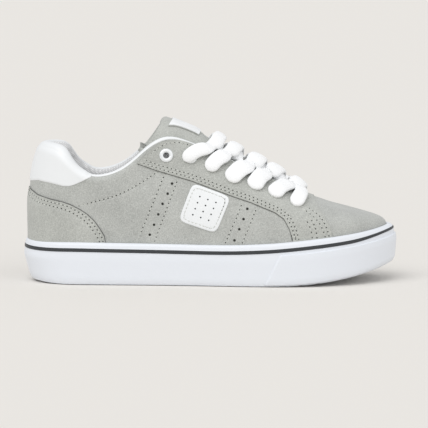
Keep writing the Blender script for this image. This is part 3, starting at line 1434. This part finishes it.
def make_eyestay(tree):
    """Suede overlay round the throat, with its two front legs and its cut edge."""
    def has_panel(u):
        return eyestay_low(u) < LAST_STITCH_LEVEL

    halves, edges = [], []
    for way, origin in ((1, 0), (-1, COUNT)):
        corner = find_place(origin + way * ARCH_STATION, origin + way * LEG_STATION, has_panel)
        half = overlay_columns(corner, TOE, eyestay_low, 200)
        halves.append(half)
        low = eyestay_low(half)
        edge = half[:np.argmax(low < FOOT_LEVEL) + 1]
        edges.append((edge, eyestay_low(edge)))
    u = np.concatenate([halves[0], halves[1][-2::-1]])
    high = rim_level(u, EYESTAY_UNDER_BINDING)
    low = np.minimum(eyestay_low(u), high - FACE_NUDGE)
    mesh = overlay_mesh("eyestay_suede", u, low, high, OVERLAY, tree, 84)
    add_raw_edges("eyestay_edge", edges)
    return add_piece("eyestay_suede", mesh, "overlay_suede", ("eyestay",), 40)


def make_heel_counter(tree):
    """Suede overlay round the heel, with its cut edge."""
    def top(u):
        return crossing(u, above_edge(COUNTER_EDGE))

    def has_panel(u):
        return top(u) > FACE_NUDGE

    outer = find_place(CORNER_STATION, 0.0, has_panel)
    inner = find_place(COUNT - CORNER_STATION, COUNT, has_panel) - COUNT
    u = overlay_columns(outer, inner, top, 260)
    high = np.maximum(top(u), COUNTER_LEAST_LEVEL)
    v = np.clip(np.linspace(0, 1, 60)[:, None], 0, high)
    uu = np.broadcast_to(u, v.shape)
    bare = rib_point(uu, v)
    rise = np.linalg.norm(rib_point(u, high) - rib_point(u, np.clip(high - 0.01, 0, 1)), axis=-1) / 0.01
    below = (high - v) * rise
    ease = eased(below / COUNTER_EDGE_ROUND)
    thickness = counter_rise(np.minimum(distances(tree_of(rib_point(u, high)), bare), below))
    out = creases(bare) - sink_at(tree, bare) + thickness * (1 - COUNTER_EDGE_FALL * (1 - ease))
    normal = face_normal(uu, v)
    outer = bare + normal * out[..., None]
    inner = bare - normal * OVERLAY_BACK
    sunk = np.array([0.0, 0.0, OVERLAY_SUNK])
    outer, inner = np.concatenate([outer[:1] - sunk, outer]), np.concatenate([inner[:1] - sunk, inner])
    mesh = shell_mesh("heel_counter_suede", outer, inner, False)
    edge = u[np.append(True, np.diff(u) != 0)]
    add_raw_edges("heel_counter_edge", [(edge, np.maximum(top(edge), COUNTER_LEAST_LEVEL))])
    return add_piece("heel_counter_suede", mesh, "overlay_suede", ("heel_counter",), 40)


def on_panel(u, w, out=0.0):
    """A point of the outer face up to w = 1, then on the rolled rim, PANEL_ROLL further for each 1."""
    travel = np.maximum(w - 1, 0) * PANEL_ROLL
    out = np.broadcast_to(out, w.shape)
    return np.where((w > 1)[..., None], over_rim(u, travel, out), skin(u, np.minimum(w, 1), out))


def make_heel_panel():
    """White leather over the padded heel, from its waved lower edge up to the binding."""
    def highest(u):
        return 1 + crest_turn(u) * wall_at(u, np.ones_like(u)) / 2 / PANEL_ROLL

    def bottom(u):
        low, high = np.zeros_like(u), highest(u)
        for _ in range(HALVINGS):
            middle = (low + high) / 2
            place = on_panel(u, middle)
            passed = place[:, 2] > edge_at(PANEL_EDGE, place[:, 0])
            high, low = np.where(passed, middle, high), np.where(passed, low, middle)
        return high

    def has_panel(u):
        return bottom(u) < highest(u) - PANEL_LEAST

    outer = find_place(PANEL_STATION, 0.0, has_panel)
    inner = find_place(COUNT - PANEL_STATION, COUNT, has_panel) - COUNT
    u = overlay_columns(outer, inner, bottom, 220)
    low, high = bottom(u), highest(u)
    w = low + (high - low) * np.linspace(0, 1, 70)[:, None]
    uu = np.broadcast_to(u, w.shape)
    place = on_panel(uu, w)
    climb = np.linalg.norm(np.diff(place, axis=0, prepend=place[:1]), axis=-1).cumsum(0)
    ease = eased(climb / PANEL_EDGE_ROUND)
    outer = on_panel(uu, w, HEEL_PANEL_OVERLAY * (PANEL_EDGE_SHARE + (1 - PANEL_EDGE_SHARE) * ease))
    inner = on_panel(uu, w, -PANEL_BACK)
    mesh = shell_mesh("heel_panel_leather", outer, inner, False)
    return add_piece("heel_panel_leather", mesh, "white_leather", ("heel_panel",), 40)


def cut_eyelet_holes(pieces):
    """Real holes through the suede, the eyestay and the lining under each eyelet."""
    shape = bmesh.new()
    for way in (1, -1):
        for u, v in EYELET_PLACES[way]:
            turn = turned_to(face_normal(u, v)[0]).to_4x4()
            turn.translation = Vector(skin(u, v, OVERLAY)[0])
            bmesh.ops.create_cone(
                shape, cap_ends=True, segments=24, radius1=PUNCH_RADIUS, radius2=PUNCH_RADIUS,
                depth=PUNCH_DEPTH, matrix=turn,
            )
    mesh = bpy.data.meshes.new("eyelet_punch")
    shape.to_mesh(mesh)
    shape.free()
    punch = bpy.data.objects.new("eyelet_punch", mesh)
    bpy.context.scene.collection.objects.link(punch)
    for piece in pieces:
        step = piece.modifiers.new("eyelet holes", "BOOLEAN")
        step.operation = "DIFFERENCE"
        step.solver = "MANIFOLD"
        step.object = punch
        graph = bpy.context.evaluated_depsgraph_get()
        cut = bpy.data.meshes.new_from_object(piece.evaluated_get(graph))
        piece.modifiers.clear()
        if len(cut.polygons) > len(piece.data.polygons) // 2:
            name = piece.data.name
            piece.data = cut
            cut.name = name
        else:
            raise RuntimeError(f"The eyelet holes can't be cut in {piece.name}")
    bpy.data.objects.remove(punch)


def make_eyelets(sides):
    """Enamelled eyelets: a rounded flange with a barrel down through the hole."""
    radius, hole = EYELET_FLANGE_RADIUS, EYELET_HOLE_RADIUS
    profile = np.array([
        (hole, -0.0032), (hole, 0.0002), (hole * 1.06, 0.0007), (hole * 1.30, 0.0011), (radius * 0.74, 0.0012),
        (radius * 0.92, 0.0008), (radius, 0.0002), (radius, -0.0001), (hole * 1.3, -0.0003), (hole * 1.3, -0.0032),
    ])
    turn = np.linspace(0, 2 * math.pi, sides + 1)
    closed = np.concatenate([profile, profile[:1]])
    ring = np.stack([closed[:, 0] * np.cos(turn)[:, None], closed[:, 0] * np.sin(turn)[:, None],
                     np.broadcast_to(closed[:, 1], (sides + 1, len(closed)))], -1)
    sheets = []
    for way in (1, -1):
        for u, v in EYELET_PLACES[way]:
            matrix = np.array(turned_to(face_normal(u, v)[0]))
            sheets.append(ring @ matrix.T + skin(u, v, OVERLAY + 0.0003)[0])
    nodes = [f"eyelet_{side}_{k + 1}" for side in ("outer", "inner") for k in range(EYELETS)]
    mesh = join_sheets("enamel_eyelets", sheets)
    return add_piece("enamel_eyelets", mesh, "white_enamel", nodes, 60)


def make_stitching(looks):
    """Threads of every row, and the needle holes between them."""
    reach, thick = STITCH_LENGTH / 2, looks.thread_width / 2
    stitch = turned_shape(
        ((-reach, 0, -thick), (-reach * 0.92, thick * 0.7, -thick * 0.5), (-reach * 0.4, thick, thick * 0.35),
         (reach * 0.4, thick, thick * 0.35), (reach * 0.92, thick * 0.7, -thick * 0.5), (reach, 0, -thick)), 6,
    )
    hole = dome_shape(HOLE_RADIUS, 0.00006, 8)
    threads, holes = [], []
    patch_rows, vents = make_vent_patch(looks)
    rows = [stitch_places(thread, looks.stitch_pitch) for thread in all_threads()]
    for middle, along, normal in rows + patch_rows:
        sink = normal * (thick * 0.2 - SEAM_SINK)
        threads.append(scatter(*stitch, middle + sink, along, normal))
        between = middle + along * looks.stitch_pitch / 2 - normal * (SEAM_SINK - 0.00005)
        holes.append(scatter(*hole, between, along, normal))
    add_piece("seam_threads", small_mesh("seam_threads", threads), "grey_thread")
    add_piece("needle_holes", small_mesh("needle_holes", holes), "hole_shade")
    vent = dome_shape(PERFORATION_RADIUS * 0.6, 0.00008, 16)
    mesh = small_mesh("patch_vents", [scatter(*vent, *places) for places in vents])
    add_piece("patch_vents", mesh, "hole_shade")


def make_perforations():
    """Punched vent holes of the quarter's two bands, on both sides."""
    x, height = np.array(PERFORATIONS).T * MM
    u, v = on_outer_side(x - LENGTH / 2, height, VIEW_TILT)
    u, v = np.concatenate([u, COUNT - u]), np.concatenate([v, v])
    middle, normal = skin(u, v, creases(skin(u, v)) + 0.00005), face_normal(u, v)
    along = unit(np.cross(normal, np.array([0.0, 0.0, 1.0])))
    shape = dome_shape(PERFORATION_RADIUS, 0.00008, 20)
    mesh = small_mesh("vent_holes", [scatter(*shape, middle, along, normal)])
    add_piece("vent_holes", mesh, "hole_shade")


def patch_places(across, along):
    """Places of the vent patch at shares from -1 to 1 of its width and its height, with rounded corners."""
    corners = np.array(VENT_PATCH) * MM
    a, b = (across + 1) / 2, (1 - along) / 2
    top = corners[0] + (corners[1] - corners[0]) * a[..., None]
    bottom = corners[3] + (corners[2] - corners[3]) * a[..., None]
    place = top + (bottom - top) * b[..., None]
    u, v = on_outer_side(place[..., 0].ravel() - LENGTH / 2, place[..., 1].ravel(), VIEW_TILT)
    return u.reshape(across.shape), v.reshape(across.shape)


def make_vent_patch(looks):
    """Plain white leather patch on each quarter, with small vents and a stitched border."""
    turn = np.linspace(0, 2 * math.pi, 97)
    rounded = (np.abs(np.cos(turn))**7 + np.abs(np.sin(turn))**7)**(-1 / 7)
    shares = np.array([0.0, 0.25, 0.5, 0.72, 0.86, 0.93, 0.97, 0.99, 1.0])[:, None]
    across, along = shares * rounded * np.cos(turn), shares * rounded * np.sin(turn)
    u, v = [closed_round(grid) for grid in patch_places(across[:, :-1], along[:, :-1])]
    ease = eased((1 - shares) / PATCH_EDGE_ROUND)
    sheets, threads, vents = [], [], []
    border = 1 - VENT_PATCH_BORDER
    edge_u, edge_v = patch_places(across[-1] * border, along[-1] * border)
    holes = np.array([(a, b) for a in VENT_PATCH_HOLES[0] for b in VENT_PATCH_HOLES[1]])
    hole_u, hole_v = patch_places(holes[:, 0], holes[:, 1])
    for flip in (False, True):
        def on_side(place, flip=flip):
            return COUNT - place if flip else place
        bare = skin(on_side(u), v)
        out = creases(bare) + VENT_PATCH_THICKNESS * (PATCH_EDGE_SHARE + (1 - PATCH_EDGE_SHARE) * ease)
        outer, inner = skin(on_side(u), v, out), skin(on_side(u), v, creases(bare) - OVERLAY_BACK)
        sheets += [outer, inner, np.stack([outer[-1], inner[-1]])]
        thread = Thread(on_side(edge_u), edge_v, out=VENT_PATCH_THICKNESS + SEAM_SINK * 0.6)
        threads.append(stitch_places(thread, looks.stitch_pitch * PATCH_PITCH))
        place = skin(on_side(hole_u), hole_v)
        lift = creases(place) + VENT_PATCH_THICKNESS + 0.00004
        normals = face_normal(on_side(hole_u), hole_v)
        level = unit(np.cross(normals, np.array([0.0, 0.0, 1.0])))
        vents.append((skin(on_side(hole_u), hole_v, lift), level, normals))
    add_piece("vent_patches", join_sheets("vent_patches", sheets), "white_leather", (), 40)
    return threads, vents


class SHOE_OT_upper(Operator):
    """Makes the suede upper, its overlays, binding, lining, seams, vents and eyelets"""

    bl_idname = "shoe.upper"
    bl_label = "Upper"

    def execute(self, context):
        looks = context.scene.shoe_looks
        suede("split_suede", looks.suede_colour)
        suede("overlay_suede", looks.overlay_colour)
        grained_leather("white_leather", looks.leather_colour, 0.42)
        spacer_mesh("spacer_mesh", looks.lining_colour)
        suede("cut_suede", shift_colour(looks.overlay_colour, 0.30))
        spun_thread("grey_thread", shift_colour(looks.overlay_colour, 1.35))
        needle_hole("hole_shade", from_hex("3A3B38"))
        baked_enamel("white_enamel", from_hex("F3F5F6"))
        tree = seam_tree()
        shell = make_upper_suede(tree)
        eyestay = make_eyestay(tree)
        lining = make_lining()
        cut_eyelet_holes([shell, eyestay, lining])
        make_heel_counter(tree)
        make_heel_panel()
        make_binding()
        make_eyelets(looks.eyelet_sides)
        make_stitching(looks)
        make_perforations()
        return {"FINISHED"}


# Tongue

def fine_face():
    """The tongue's face read finely both ways."""
    grid = refine(tongue_face().grid, FINE_STEPS)
    return Sheet(refine(grid.transpose(1, 0, 2), FINE_STEPS).transpose(1, 0, 2))


def tongue_thickness(face, i, j):
    """Thickness of the tongue: padded at its end, thin at its foot and along its sides."""
    rows, count = face.grid.shape[:2]
    along = smooth_step(1 - i / (rows - 1) * TONGUE_TAPER)
    edge = np.abs(j / (count - 1) * 2 - 1)
    thickness = TONGUE_THICKNESS_FOOT + (TONGUE_THICKNESS_TOP - TONGUE_THICKNESS_FOOT) * along
    return thickness * (1 - TONGUE_EDGE_THINNING * edge**3)


def tongue_sheets(face):
    """The tongue's face and back, rounded over its padded end."""
    rows, count = face.grid.shape[:2]
    i, j = np.meshgrid(np.arange(rows, dtype=float), np.arange(count, dtype=float), indexing="ij")
    thickness = tongue_thickness(face, i, j)
    outer = face.at(i, j)
    inner = face.at(i, j, -thickness)
    swell = np.array([-math.cos(TONGUE_TILT), 0.0, math.sin(TONGUE_TILT) * 0.75]) * TONGUE_END_SWELL
    shares = np.linspace(0, 1, 12)[1:-1]
    rounded = [
        face.at(i[0], j[0], -thickness[0] * (1 - math.cos(math.pi * share)) / 2)
        + swell * math.sin(math.pi * share)**0.8 for share in shares
    ]
    loop = np.concatenate([outer[::-1], rounded, inner])
    end = np.concatenate([outer[:1], rounded, inner[:1]])
    sides = [np.stack([outer[:, k], inner[:, k]]) for k in (0, -1)]
    caps = [np.stack([end[:, k], np.linspace(end[0, k], end[-1, k], len(end))]) for k in (0, -1)]
    sides.append(np.stack([outer[-1], inner[-1]]))
    return [loop, *sides, *caps]


def make_tongue_lining(face):
    """White lining behind the tongue, just showing past its edges below the padded end."""
    rows, count = face.grid.shape[:2]
    along = np.linspace(TONGUE_LINING_START, rows - 8, 60)
    i, j = np.meshgrid(along, np.linspace(0, count - 1, 60), indexing="ij")
    thickness = tongue_thickness(face, i, j)
    start = smooth_step((i - TONGUE_LINING_START) / 4)
    outer = face.at(i, j, -thickness + 0.0012)
    inner = face.at(i, j, -thickness - 0.0004 - 0.0016 * start)
    mesh = shell_mesh("tongue_lining", outer, inner, False)
    add_piece("tongue_lining", mesh, "tongue_cloth")


def make_label(face):
    """Bare white label with a grey piping along its sides, on the tongue above the top laces."""
    middle = (face.grid.shape[1] - 1) / 2
    crown_x = face.grid[:, int(middle), 0] + LENGTH / 2
    rows = np.arange(len(crown_x), dtype=float)
    first, last = np.interp([LABEL_START + 0.0015, LABEL_END], crown_x, rows)
    half = LABEL_HALF_COLUMNS * FINE_STEPS * 0.86
    i, j = np.meshgrid(np.linspace(first, last, 40), np.linspace(middle - half, middle + half, 49), indexing="ij")
    ease = eased((1 - np.abs(j - middle) / half) / LABEL_EDGE_ROUND)
    outer = face.at(i, j, LABEL_LIFT + LABEL_BULGE * ease)
    inner = face.at(i, j, -0.0003)
    mesh = shell_mesh("label_leather", outer, inner, False)
    add_piece("label_leather", mesh, "label_leather", ("tongue_label",))
    rings = []
    for side in (-1, 1):
        i = np.linspace(first, last, 60)
        edge = np.full(60, middle + side * half * 1.02)
        path = face.at(i, edge, 0.0003)
        normals = unit(face.at(i, edge, 1.0) - face.at(i, edge))
        width, height = np.full(60, PIPING_WIDTH), np.full(60, PIPING_HEIGHT)
        rings += capped(tube_rings(path, normals, width, height, 10, 2))
    add_piece("label_piping", join_sheets("label_piping", rings), "piping_grey")


class SHOE_OT_tongue(Operator):
    """Makes the padded tongue and its bare label"""

    bl_idname = "shoe.tongue"
    bl_label = "Tongue"

    def execute(self, context):
        looks = context.scene.shoe_looks
        suede("tongue_suede", looks.tongue_colour)
        suede("piping_grey", shift_colour(looks.tongue_colour, 0.72))
        spacer_mesh("tongue_cloth", shift_colour(looks.lining_colour, 1.15))
        grained_leather("label_leather", looks.leather_colour, 0.5)
        face = fine_face()
        tongue = add_piece(
            "tongue_suede", join_sheets("tongue_suede", tongue_sheets(face)), "tongue_suede",
            ("tongue",), 60,
        )
        make_tongue_lining(face)
        make_label(face)
        return {"FINISHED"}


# Laces

def flap_points(way, k, look):
    """Middle line of the lace from its rounded lower end, over the eyelet and up to the rim, with normals."""
    rim = rim_place(way, k, look.lean)
    x, height = np.array(look.tip).reshape(2, 1) * MM
    tip_u, tip_v = on_outer_side(x - LENGTH / 2, height, VIEW_TILT)
    tip_u = tip_u if way > 0 else COUNT - tip_u
    shares = np.array([0.0, 0.12, 0.30, 0.55, 0.80])
    lifts = np.array([0.0014, 0.0028, 0.0040, 0.0044, 0.0044])
    at_u, at_v = tip_u + (rim - tip_u) * shares, tip_v + (1 - tip_v) * shares
    edge, normal, _ = (values[0] for values in rim_frame(rim))
    line = rib_point(rim + NUDGE, np.ones(1))[0] - rib_point(rim - NUDGE, np.ones(1))[0]
    up = unit(np.cross(normal, line))
    radius = wall_at(rim, np.ones(1))[0] / 2
    turn = unit(normal * 0.35 + up)
    crest = edge - normal * radius + turn * (radius + 0.0038)
    return rim, [*skin(at_u, at_v, lifts), crest], [*face_normal(at_u, at_v), turn]


def eyelet_plug(way, k, thick):
    """The folded lace that goes down through an eyelet from under its lower end."""
    u, v = EYELET_PLACES[way][k]
    lifts = np.array([-0.0060, -0.0030, 0.0, 0.0016, 0.0030])
    points = skin(np.full(5, u[0]), np.full(5, v[0]), lifts)
    along = rib_point(u + NUDGE, v) - rib_point(u - NUDGE, v)
    widths = np.array([0.0040, 0.0042, 0.0042, 0.0048, 0.0060])
    return list(points), [unit(along)[0]] * 5, widths, np.full(5, thick * 0.8)


def tongue_points(face, start, end, shares, lifts):
    """Middle line of the lace over the tongue between two places on the rims."""
    rims = {1: LACE_FIRST_COLUMN, -1: face.grid.shape[1] - 1 - LACE_FIRST_COLUMN}
    stops = []
    for way, rim in (start, end):
        rib = rim[0] if way > 0 else COUNT - rim[0]
        stops.append((np.interp(rib, TONGUE_PLACES, np.arange(len(TONGUE_PLACES))), rims[way]))
    share = np.array(shares)
    i = stops[0][0] + (stops[1][0] - stops[0][0]) * share
    j = stops[0][1] + (stops[1][1] - stops[0][1]) * share
    lift = np.array(lifts)
    return list(face.at(i, j, lift)), list(unit(face.at(i, j, 1.0) - face.at(i, j, 0.0)))


def lace_sheets(points, normals, widths, heights, rounded):
    """A puffy flat lace along smooth lines through its points, with its braid's own coordinates."""
    points, normals = np.array(points), np.array(normals)
    at = travelled(points)
    count = max(int(at[-1] / LACE_STEP), 40)
    path = smooth_line(points, count)
    where = np.linspace(0, at[-1], count)
    lines = [np.interp(where, at, column) for column in np.array(normals).T]
    widths, heights = np.interp(where, at, widths), np.interp(where, at, heights)
    wave = 1 + 0.03 * np.sin(where / 0.0041 + at[-1] * 300)
    for end, travel in zip(rounded, (where, at[-1] - where)):
        if end:
            nose = np.maximum(eased(travel / LACE_TIP), LACE_NOSE_LEAST)
            widths, heights = widths * nose, heights * (0.45 + 0.55 * nose)
    rings = tube_rings(path, unit(np.stack(lines, 1)), widths * wave, heights, 20, 2.35)
    turn = np.linspace(0, 2 * math.pi, 21)
    across = np.cos(turn)[None] * widths[:, None] / 2 / MM
    along = np.broadcast_to(where[:, None] / MM, across.shape)
    return rings, np.stack([along, across, np.zeros_like(across)], -1)


def make_laces(face, looks):
    """The bar at the lowest eyelets, the two halves of every crossing above it, and the ends in the eyelets."""
    low = EYELETS - 1
    thick = looks.lace_thickness
    strips = []
    look = LACE_LOOKS[low]
    near_rim, near, near_normals = flap_points(1, low, look)
    far_rim, far, far_normals = flap_points(-1, low, look)
    middle, normals = tongue_points(face, (1, near_rim), (-1, far_rim), BAR_SHARES, BAR_LIFTS)
    count = len(near) * 2 + 3
    strips.append((
        near + middle + far[::-1], near_normals + normals + far_normals[::-1],
        [look.width] * count, [thick] * count, (True, True),
    ))
    for k in range(1, low):
        look = LACE_LOOKS[k]
        for way in (-1, 1):
            over = 1 if way > 0 else 0
            rim, near, near_normals = flap_points(way, k, look)
            far_rim = rim_place(-way, k + 1, LACE_UNDER_LEAN)
            lifts = np.array(CROSSING_LIFTS) + np.array(CROSSING_OVER) * over
            middle, normals = tongue_points(face, (way, rim), (-way, far_rim), CROSSING_SHARES, lifts)
            full = [1.0] * (len(near) + 1)
            widths = look.width * np.array([*full, *CROSSING_WIDTHS])
            heights = thick * np.array([*full, *CROSSING_HEIGHTS])
            strips.append((near + middle, near_normals + normals, widths, heights, (True, False)))
    strips += [(*eyelet_plug(way, k, thick), (False, False)) for way in (1, -1) for k in range(1, EYELETS)]
    points, faces, braid, start = [], [], [], 0
    for strip in strips:
        rings, own = lace_sheets(*strip)
        rings, own = rings[:, :-1], own[:, :-1]
        rows, sides = rings.shape[:2]
        index = start + np.arange(rows * sides).reshape(rows, sides)
        wrapped = closed_round(index)
        quads = np.stack([wrapped[:-1, :-1], wrapped[:-1, 1:], wrapped[1:, 1:], wrapped[1:, :-1]], -1)
        faces += quads.reshape(-1, 4).tolist()
        faces += [index[0].tolist(), index[-1][::-1].tolist()]
        points.append(rings.reshape(-1, 3))
        braid.append(own.reshape(-1, 3))
        start += rows * sides
    mesh = bpy.data.meshes.new("cotton_laces")
    mesh.from_pydata(np.concatenate(points).tolist(), [], faces)
    layer = mesh.attributes.new("braid", "FLOAT_VECTOR", "POINT")
    layer.data.foreach_set("vector", np.concatenate(braid).ravel())
    shape = bmesh.new()
    shape.from_mesh(mesh)
    bmesh.ops.recalc_face_normals(shape, faces=shape.faces)
    shape.to_mesh(mesh)
    shape.free()
    return add_piece("cotton_laces", mesh, "braided_cotton", ("laces",), 80)


class SHOE_OT_laces(Operator):
    """Makes the lace: a bar at the lowest eyelets and a crossing above each"""

    bl_idname = "shoe.laces"
    bl_label = "Laces"

    def execute(self, context):
        looks = context.scene.shoe_looks
        braided_cotton("braided_cotton", looks.lace_colour)
        make_laces(tongue_face(), looks)
        return {"FINISHED"}


# Sole

def stripe_sizes(u):
    """Middle and half width of the stripe, as shares of the side wall's height."""
    row = RING.at(u)
    share = (row[:, 0] + LENGTH / 2) / LENGTH
    toe = 1 - (1 - STRIPE_AT_TOE) * smooth_step((share - TOE_ZONE) / (1 - TOE_ZONE))
    return 1 - STRIPE_DROP * toe / row[:, HEIGHT], STRIPE_WIDTH * toe / 2 / row[:, HEIGHT]


def smooth_wall(u, h, out=0.0):
    """The side wall's face with its corners eased: the mean of a few heights near each place."""
    spread = (-0.03, -0.015, 0.0, 0.015, 0.03)
    points = [wall_point(u, np.clip(h + step, 0, 1), False, -out) for step in spread]
    middle = wall_point(u, h, False, -out)
    mean = np.mean(points, 0)
    mean[..., 2] = middle[..., 2]
    return mean


def make_side_wall():
    """The rubber round the sole: eased lower and upper edges, and the groove that the stripe lies in."""
    u = round_places(540)
    middle, half = stripe_sizes(u)
    half = half + THIN / SIDE_WALL_HEIGHT
    rows = [smooth_wall(u, np.full_like(u, level)) for level in np.linspace(SIDE_WALL_LIFT, 0.10, 8)]
    for share in np.linspace(0, 1, 16)[1:]:
        rows.append(smooth_wall(u, 0.10 * (1 - share) + (middle - half - 0.010) * share))
    rows.append(smooth_wall(u, middle - half - 0.004, THIN))
    for edge, depth in (
        (-half, THIN), (-half, STRIPE_THICKNESS), (half, STRIPE_THICKNESS), (half, THIN),
    ):
        rows.append(wall_point(u, middle + edge, False, depth))
    rows.append(smooth_wall(u, middle + half + 0.004, THIN))
    top = middle + half + 0.012
    for share in np.linspace(0, 1, 6):
        rows.append(smooth_wall(u, top * (1 - share) + 0.955 * share))
    rows.append(wall_point(u, np.full_like(u, 0.985), False, 0.0003))
    rows.append(wall_point(u, np.full_like(u, 1.0), False, 0.0011))
    rows += [wall_point(u, np.full_like(u, level), True) for level in (1.0, 0.7, 0.40, 0.2, SIDE_WALL_LIFT)]
    grid = np.stack(rows)
    mesh = join_sheets("side_wall_rubber", [closed_round(np.concatenate([grid, grid[:1]]))])
    add_piece("side_wall_rubber", mesh, "white_rubber", ("side_wall",), 35)


def make_stripe():
    """Black rubber strip in the side wall's groove, slightly crowned."""
    u = round_places(540)
    middle, half = stripe_sizes(u)
    rows = [wall_point(u, middle + half * share, False, depth) for share, depth in STRIPE_SECTION]
    mesh = join_sheets("stripe_rubber", [closed_round(np.stack([*rows, rows[0]]))])
    add_piece("stripe_rubber", mesh, "black_rubber", ("pinstripe",), 40)


def make_bumper():
    """Second layer of rubber round the toe, feathered at its slanted ends."""
    rows_outer, rows_inner = [], []
    for h in np.linspace(BUMPER_LOW, BUMPER_HIGH, 30):
        start = BUMPER_START + BUMPER_SLANT * h
        u = np.linspace(start, COUNT - start, 260)
        near = np.minimum(u - start, COUNT - start - u) / 0.10
        edge = np.minimum(min(h - BUMPER_LOW, BUMPER_HIGH - h) / 0.02, near)
        out = THIN + (BUMPER_THICKNESS + CLEARANCE) * eased(edge)
        base = smooth_wall(u, np.full_like(u, h))
        rows_outer.append(base + outward(u) * out[:, None])
        rows_inner.append(base - outward(u) * 0.0004)
    mesh = shell_mesh("toe_bumper_rubber", np.stack(rows_outer), np.stack(rows_inner), False)
    add_piece("toe_bumper_rubber", mesh, "white_rubber", ("toe_bumper",), 40)


def bed_level(u, deeper, above):
    """Points round the inside of the side wall, at a height over the flat bed."""
    edge = wall_point(u, np.full_like(u, 0.5), True, deeper)
    share = (edge[:, 0] + LENGTH / 2) / LENGTH
    bed = BED_AT_HEEL + (BED_AT_TOE - BED_AT_HEEL) * share
    return wall_point(u, (bed + above) / RING.at(u)[:, HEIGHT], True, deeper)


def across(ring, count):
    """A sheet over a ring: lines from each outer place to the inner place that faces it."""
    half = len(ring) // 2
    shares = np.linspace(0, 1, count)[:, None]
    return np.array([ring[i] * (1 - shares) + ring[-i] * shares for i in range(half + 1)])


def make_insole():
    """Cloth-covered insole with a raised edge."""
    u = round_places(240)
    inset = 2 * CLEARANCE + WALL
    rings = [bed_level(u, inset, CLEARANCE)]
    for share in (0.0, 0.15, 0.35, 0.6, 0.85, 1.0):
        rise = INSOLE_THICKNESS + INSOLE_EDGE_RISE * (1 - share)**2
        rings.append(bed_level(u, inset + INSOLE_EDGE_WIDTH * share, CLEARANCE + rise))
    sheets = [closed_round(np.stack(rings)), across(rings[0], 24), across(rings[-1], 24)]
    mesh = join_sheets("insole_cloth", sheets)
    add_piece("insole_cloth", mesh, "footbed_cloth", ("insole",), 40)


class SHOE_OT_sole(Operator):
    """Makes the side wall, its stripe, the toe bumper and the insole, and finishes the outsole"""

    bl_idname = "shoe.sole"
    bl_label = "Sole"

    def execute(self, context):
        looks = context.scene.shoe_looks
        moulded_rubber("white_rubber", looks.rubber_colour, 0.45, 0.03)
        moulded_rubber("black_rubber", looks.stripe_colour, 0.5, 0.08)
        spacer_mesh("footbed_cloth", looks.lining_colour)
        make_side_wall()
        make_stripe()
        make_bumper()
        make_insole()
        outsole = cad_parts["outsole"]
        for place in outsole.material_slots:
            place.material = bpy.data.materials["white_rubber"]
        return {"FINISHED"}


# Stage

class SHOE_OT_stage(Operator):
    """Makes the studio paper, the lights and the camera"""

    bl_idname = "shoe.stage"
    bl_label = "Stage"

    def execute(self, context):
        looks = context.scene.shoe_looks
        scene = context.scene
        studio_paper("studio_paper", looks.paper_colour)
        steps = np.linspace(-12.0, 12.0, 25)
        grid = np.stack([*np.meshgrid(steps, steps, indexing="ij"), np.zeros((25, 25))], -1)
        mesh = join_sheets("studio_paper", [grid])
        paper = bpy.data.objects.new("studio_paper", mesh)
        mesh.materials.append(bpy.data.materials["studio_paper"])
        scene.collection.objects.link(paper)
        for name, way, spread, strength in (
            ("key", (0.45, 0.75, -1.10), 50.0, 1.20), ("fill", (-0.70, 0.80, -0.60), 70.0, 0.40),
        ):
            light = bpy.data.lights.new(name, "SUN")
            light.angle = math.radians(spread)
            light.energy = strength
            lamp = bpy.data.objects.new(name, light)
            lamp.rotation_euler = Vector(way).to_track_quat("-Z", "Y").to_euler()
            scene.collection.objects.link(lamp)
        world = bpy.data.worlds.new("studio")
        world.use_nodes = True
        world.node_tree.nodes["Background"].inputs["Color"].default_value = (*from_hex("FCFCFD"), 1)
        world.node_tree.nodes["Background"].inputs["Strength"].default_value = 0.69
        scene.world = world
        camera = bpy.data.cameras.new("camera")
        camera.lens = 36.0 * 2.5 / 0.3442
        camera.clip_end = 20
        eye = bpy.data.objects.new("camera", camera)
        aim = Vector((0.0028, 0.0, 0.0530))
        eye.location = aim + Vector((0.0, -math.cos(VIEW_TILT), math.sin(VIEW_TILT))) * 2.5
        eye.rotation_euler = (aim - eye.location).to_track_quat("-Z", "Y").to_euler()
        scene.collection.objects.link(eye)
        scene.camera = eye
        scene.view_settings.view_transform = "Standard"
        return {"FINISHED"}


class SHOE_PT_panel(Panel):
    bl_label = "Skateboarding shoe"
    bl_idname = "SHOE_PT_panel"
    bl_space_type = "VIEW_3D"
    bl_region_type = "UI"
    bl_category = "Shoe"

    def draw(self, context):
        looks = context.scene.shoe_looks
        for name in looks.bl_rna.properties.keys():
            if name not in ("rna_type", "name"):
                self.layout.prop(looks, name)
        for operator in (SHOE_OT_upper, SHOE_OT_tongue, SHOE_OT_laces, SHOE_OT_sole, SHOE_OT_stage):
            self.layout.operator(operator.bl_idname)


CLASSES = (ShoeLooks, SHOE_OT_upper, SHOE_OT_tongue, SHOE_OT_laces, SHOE_OT_sole, SHOE_OT_stage, SHOE_PT_panel)


def register():
    for kind in CLASSES:
        bpy.utils.register_class(kind)
    bpy.types.Scene.shoe_looks = PointerProperty(type=ShoeLooks)


def unregister():
    del bpy.types.Scene.shoe_looks
    for kind in reversed(CLASSES):
        bpy.utils.unregister_class(kind)


def main():
    register()
    bpy.ops.shoe.stage()
    bpy.ops.shoe.sole()
    bpy.ops.shoe.upper()
    bpy.ops.shoe.tongue()
    bpy.ops.shoe.laces()


if __name__ == "__main__":
    main()
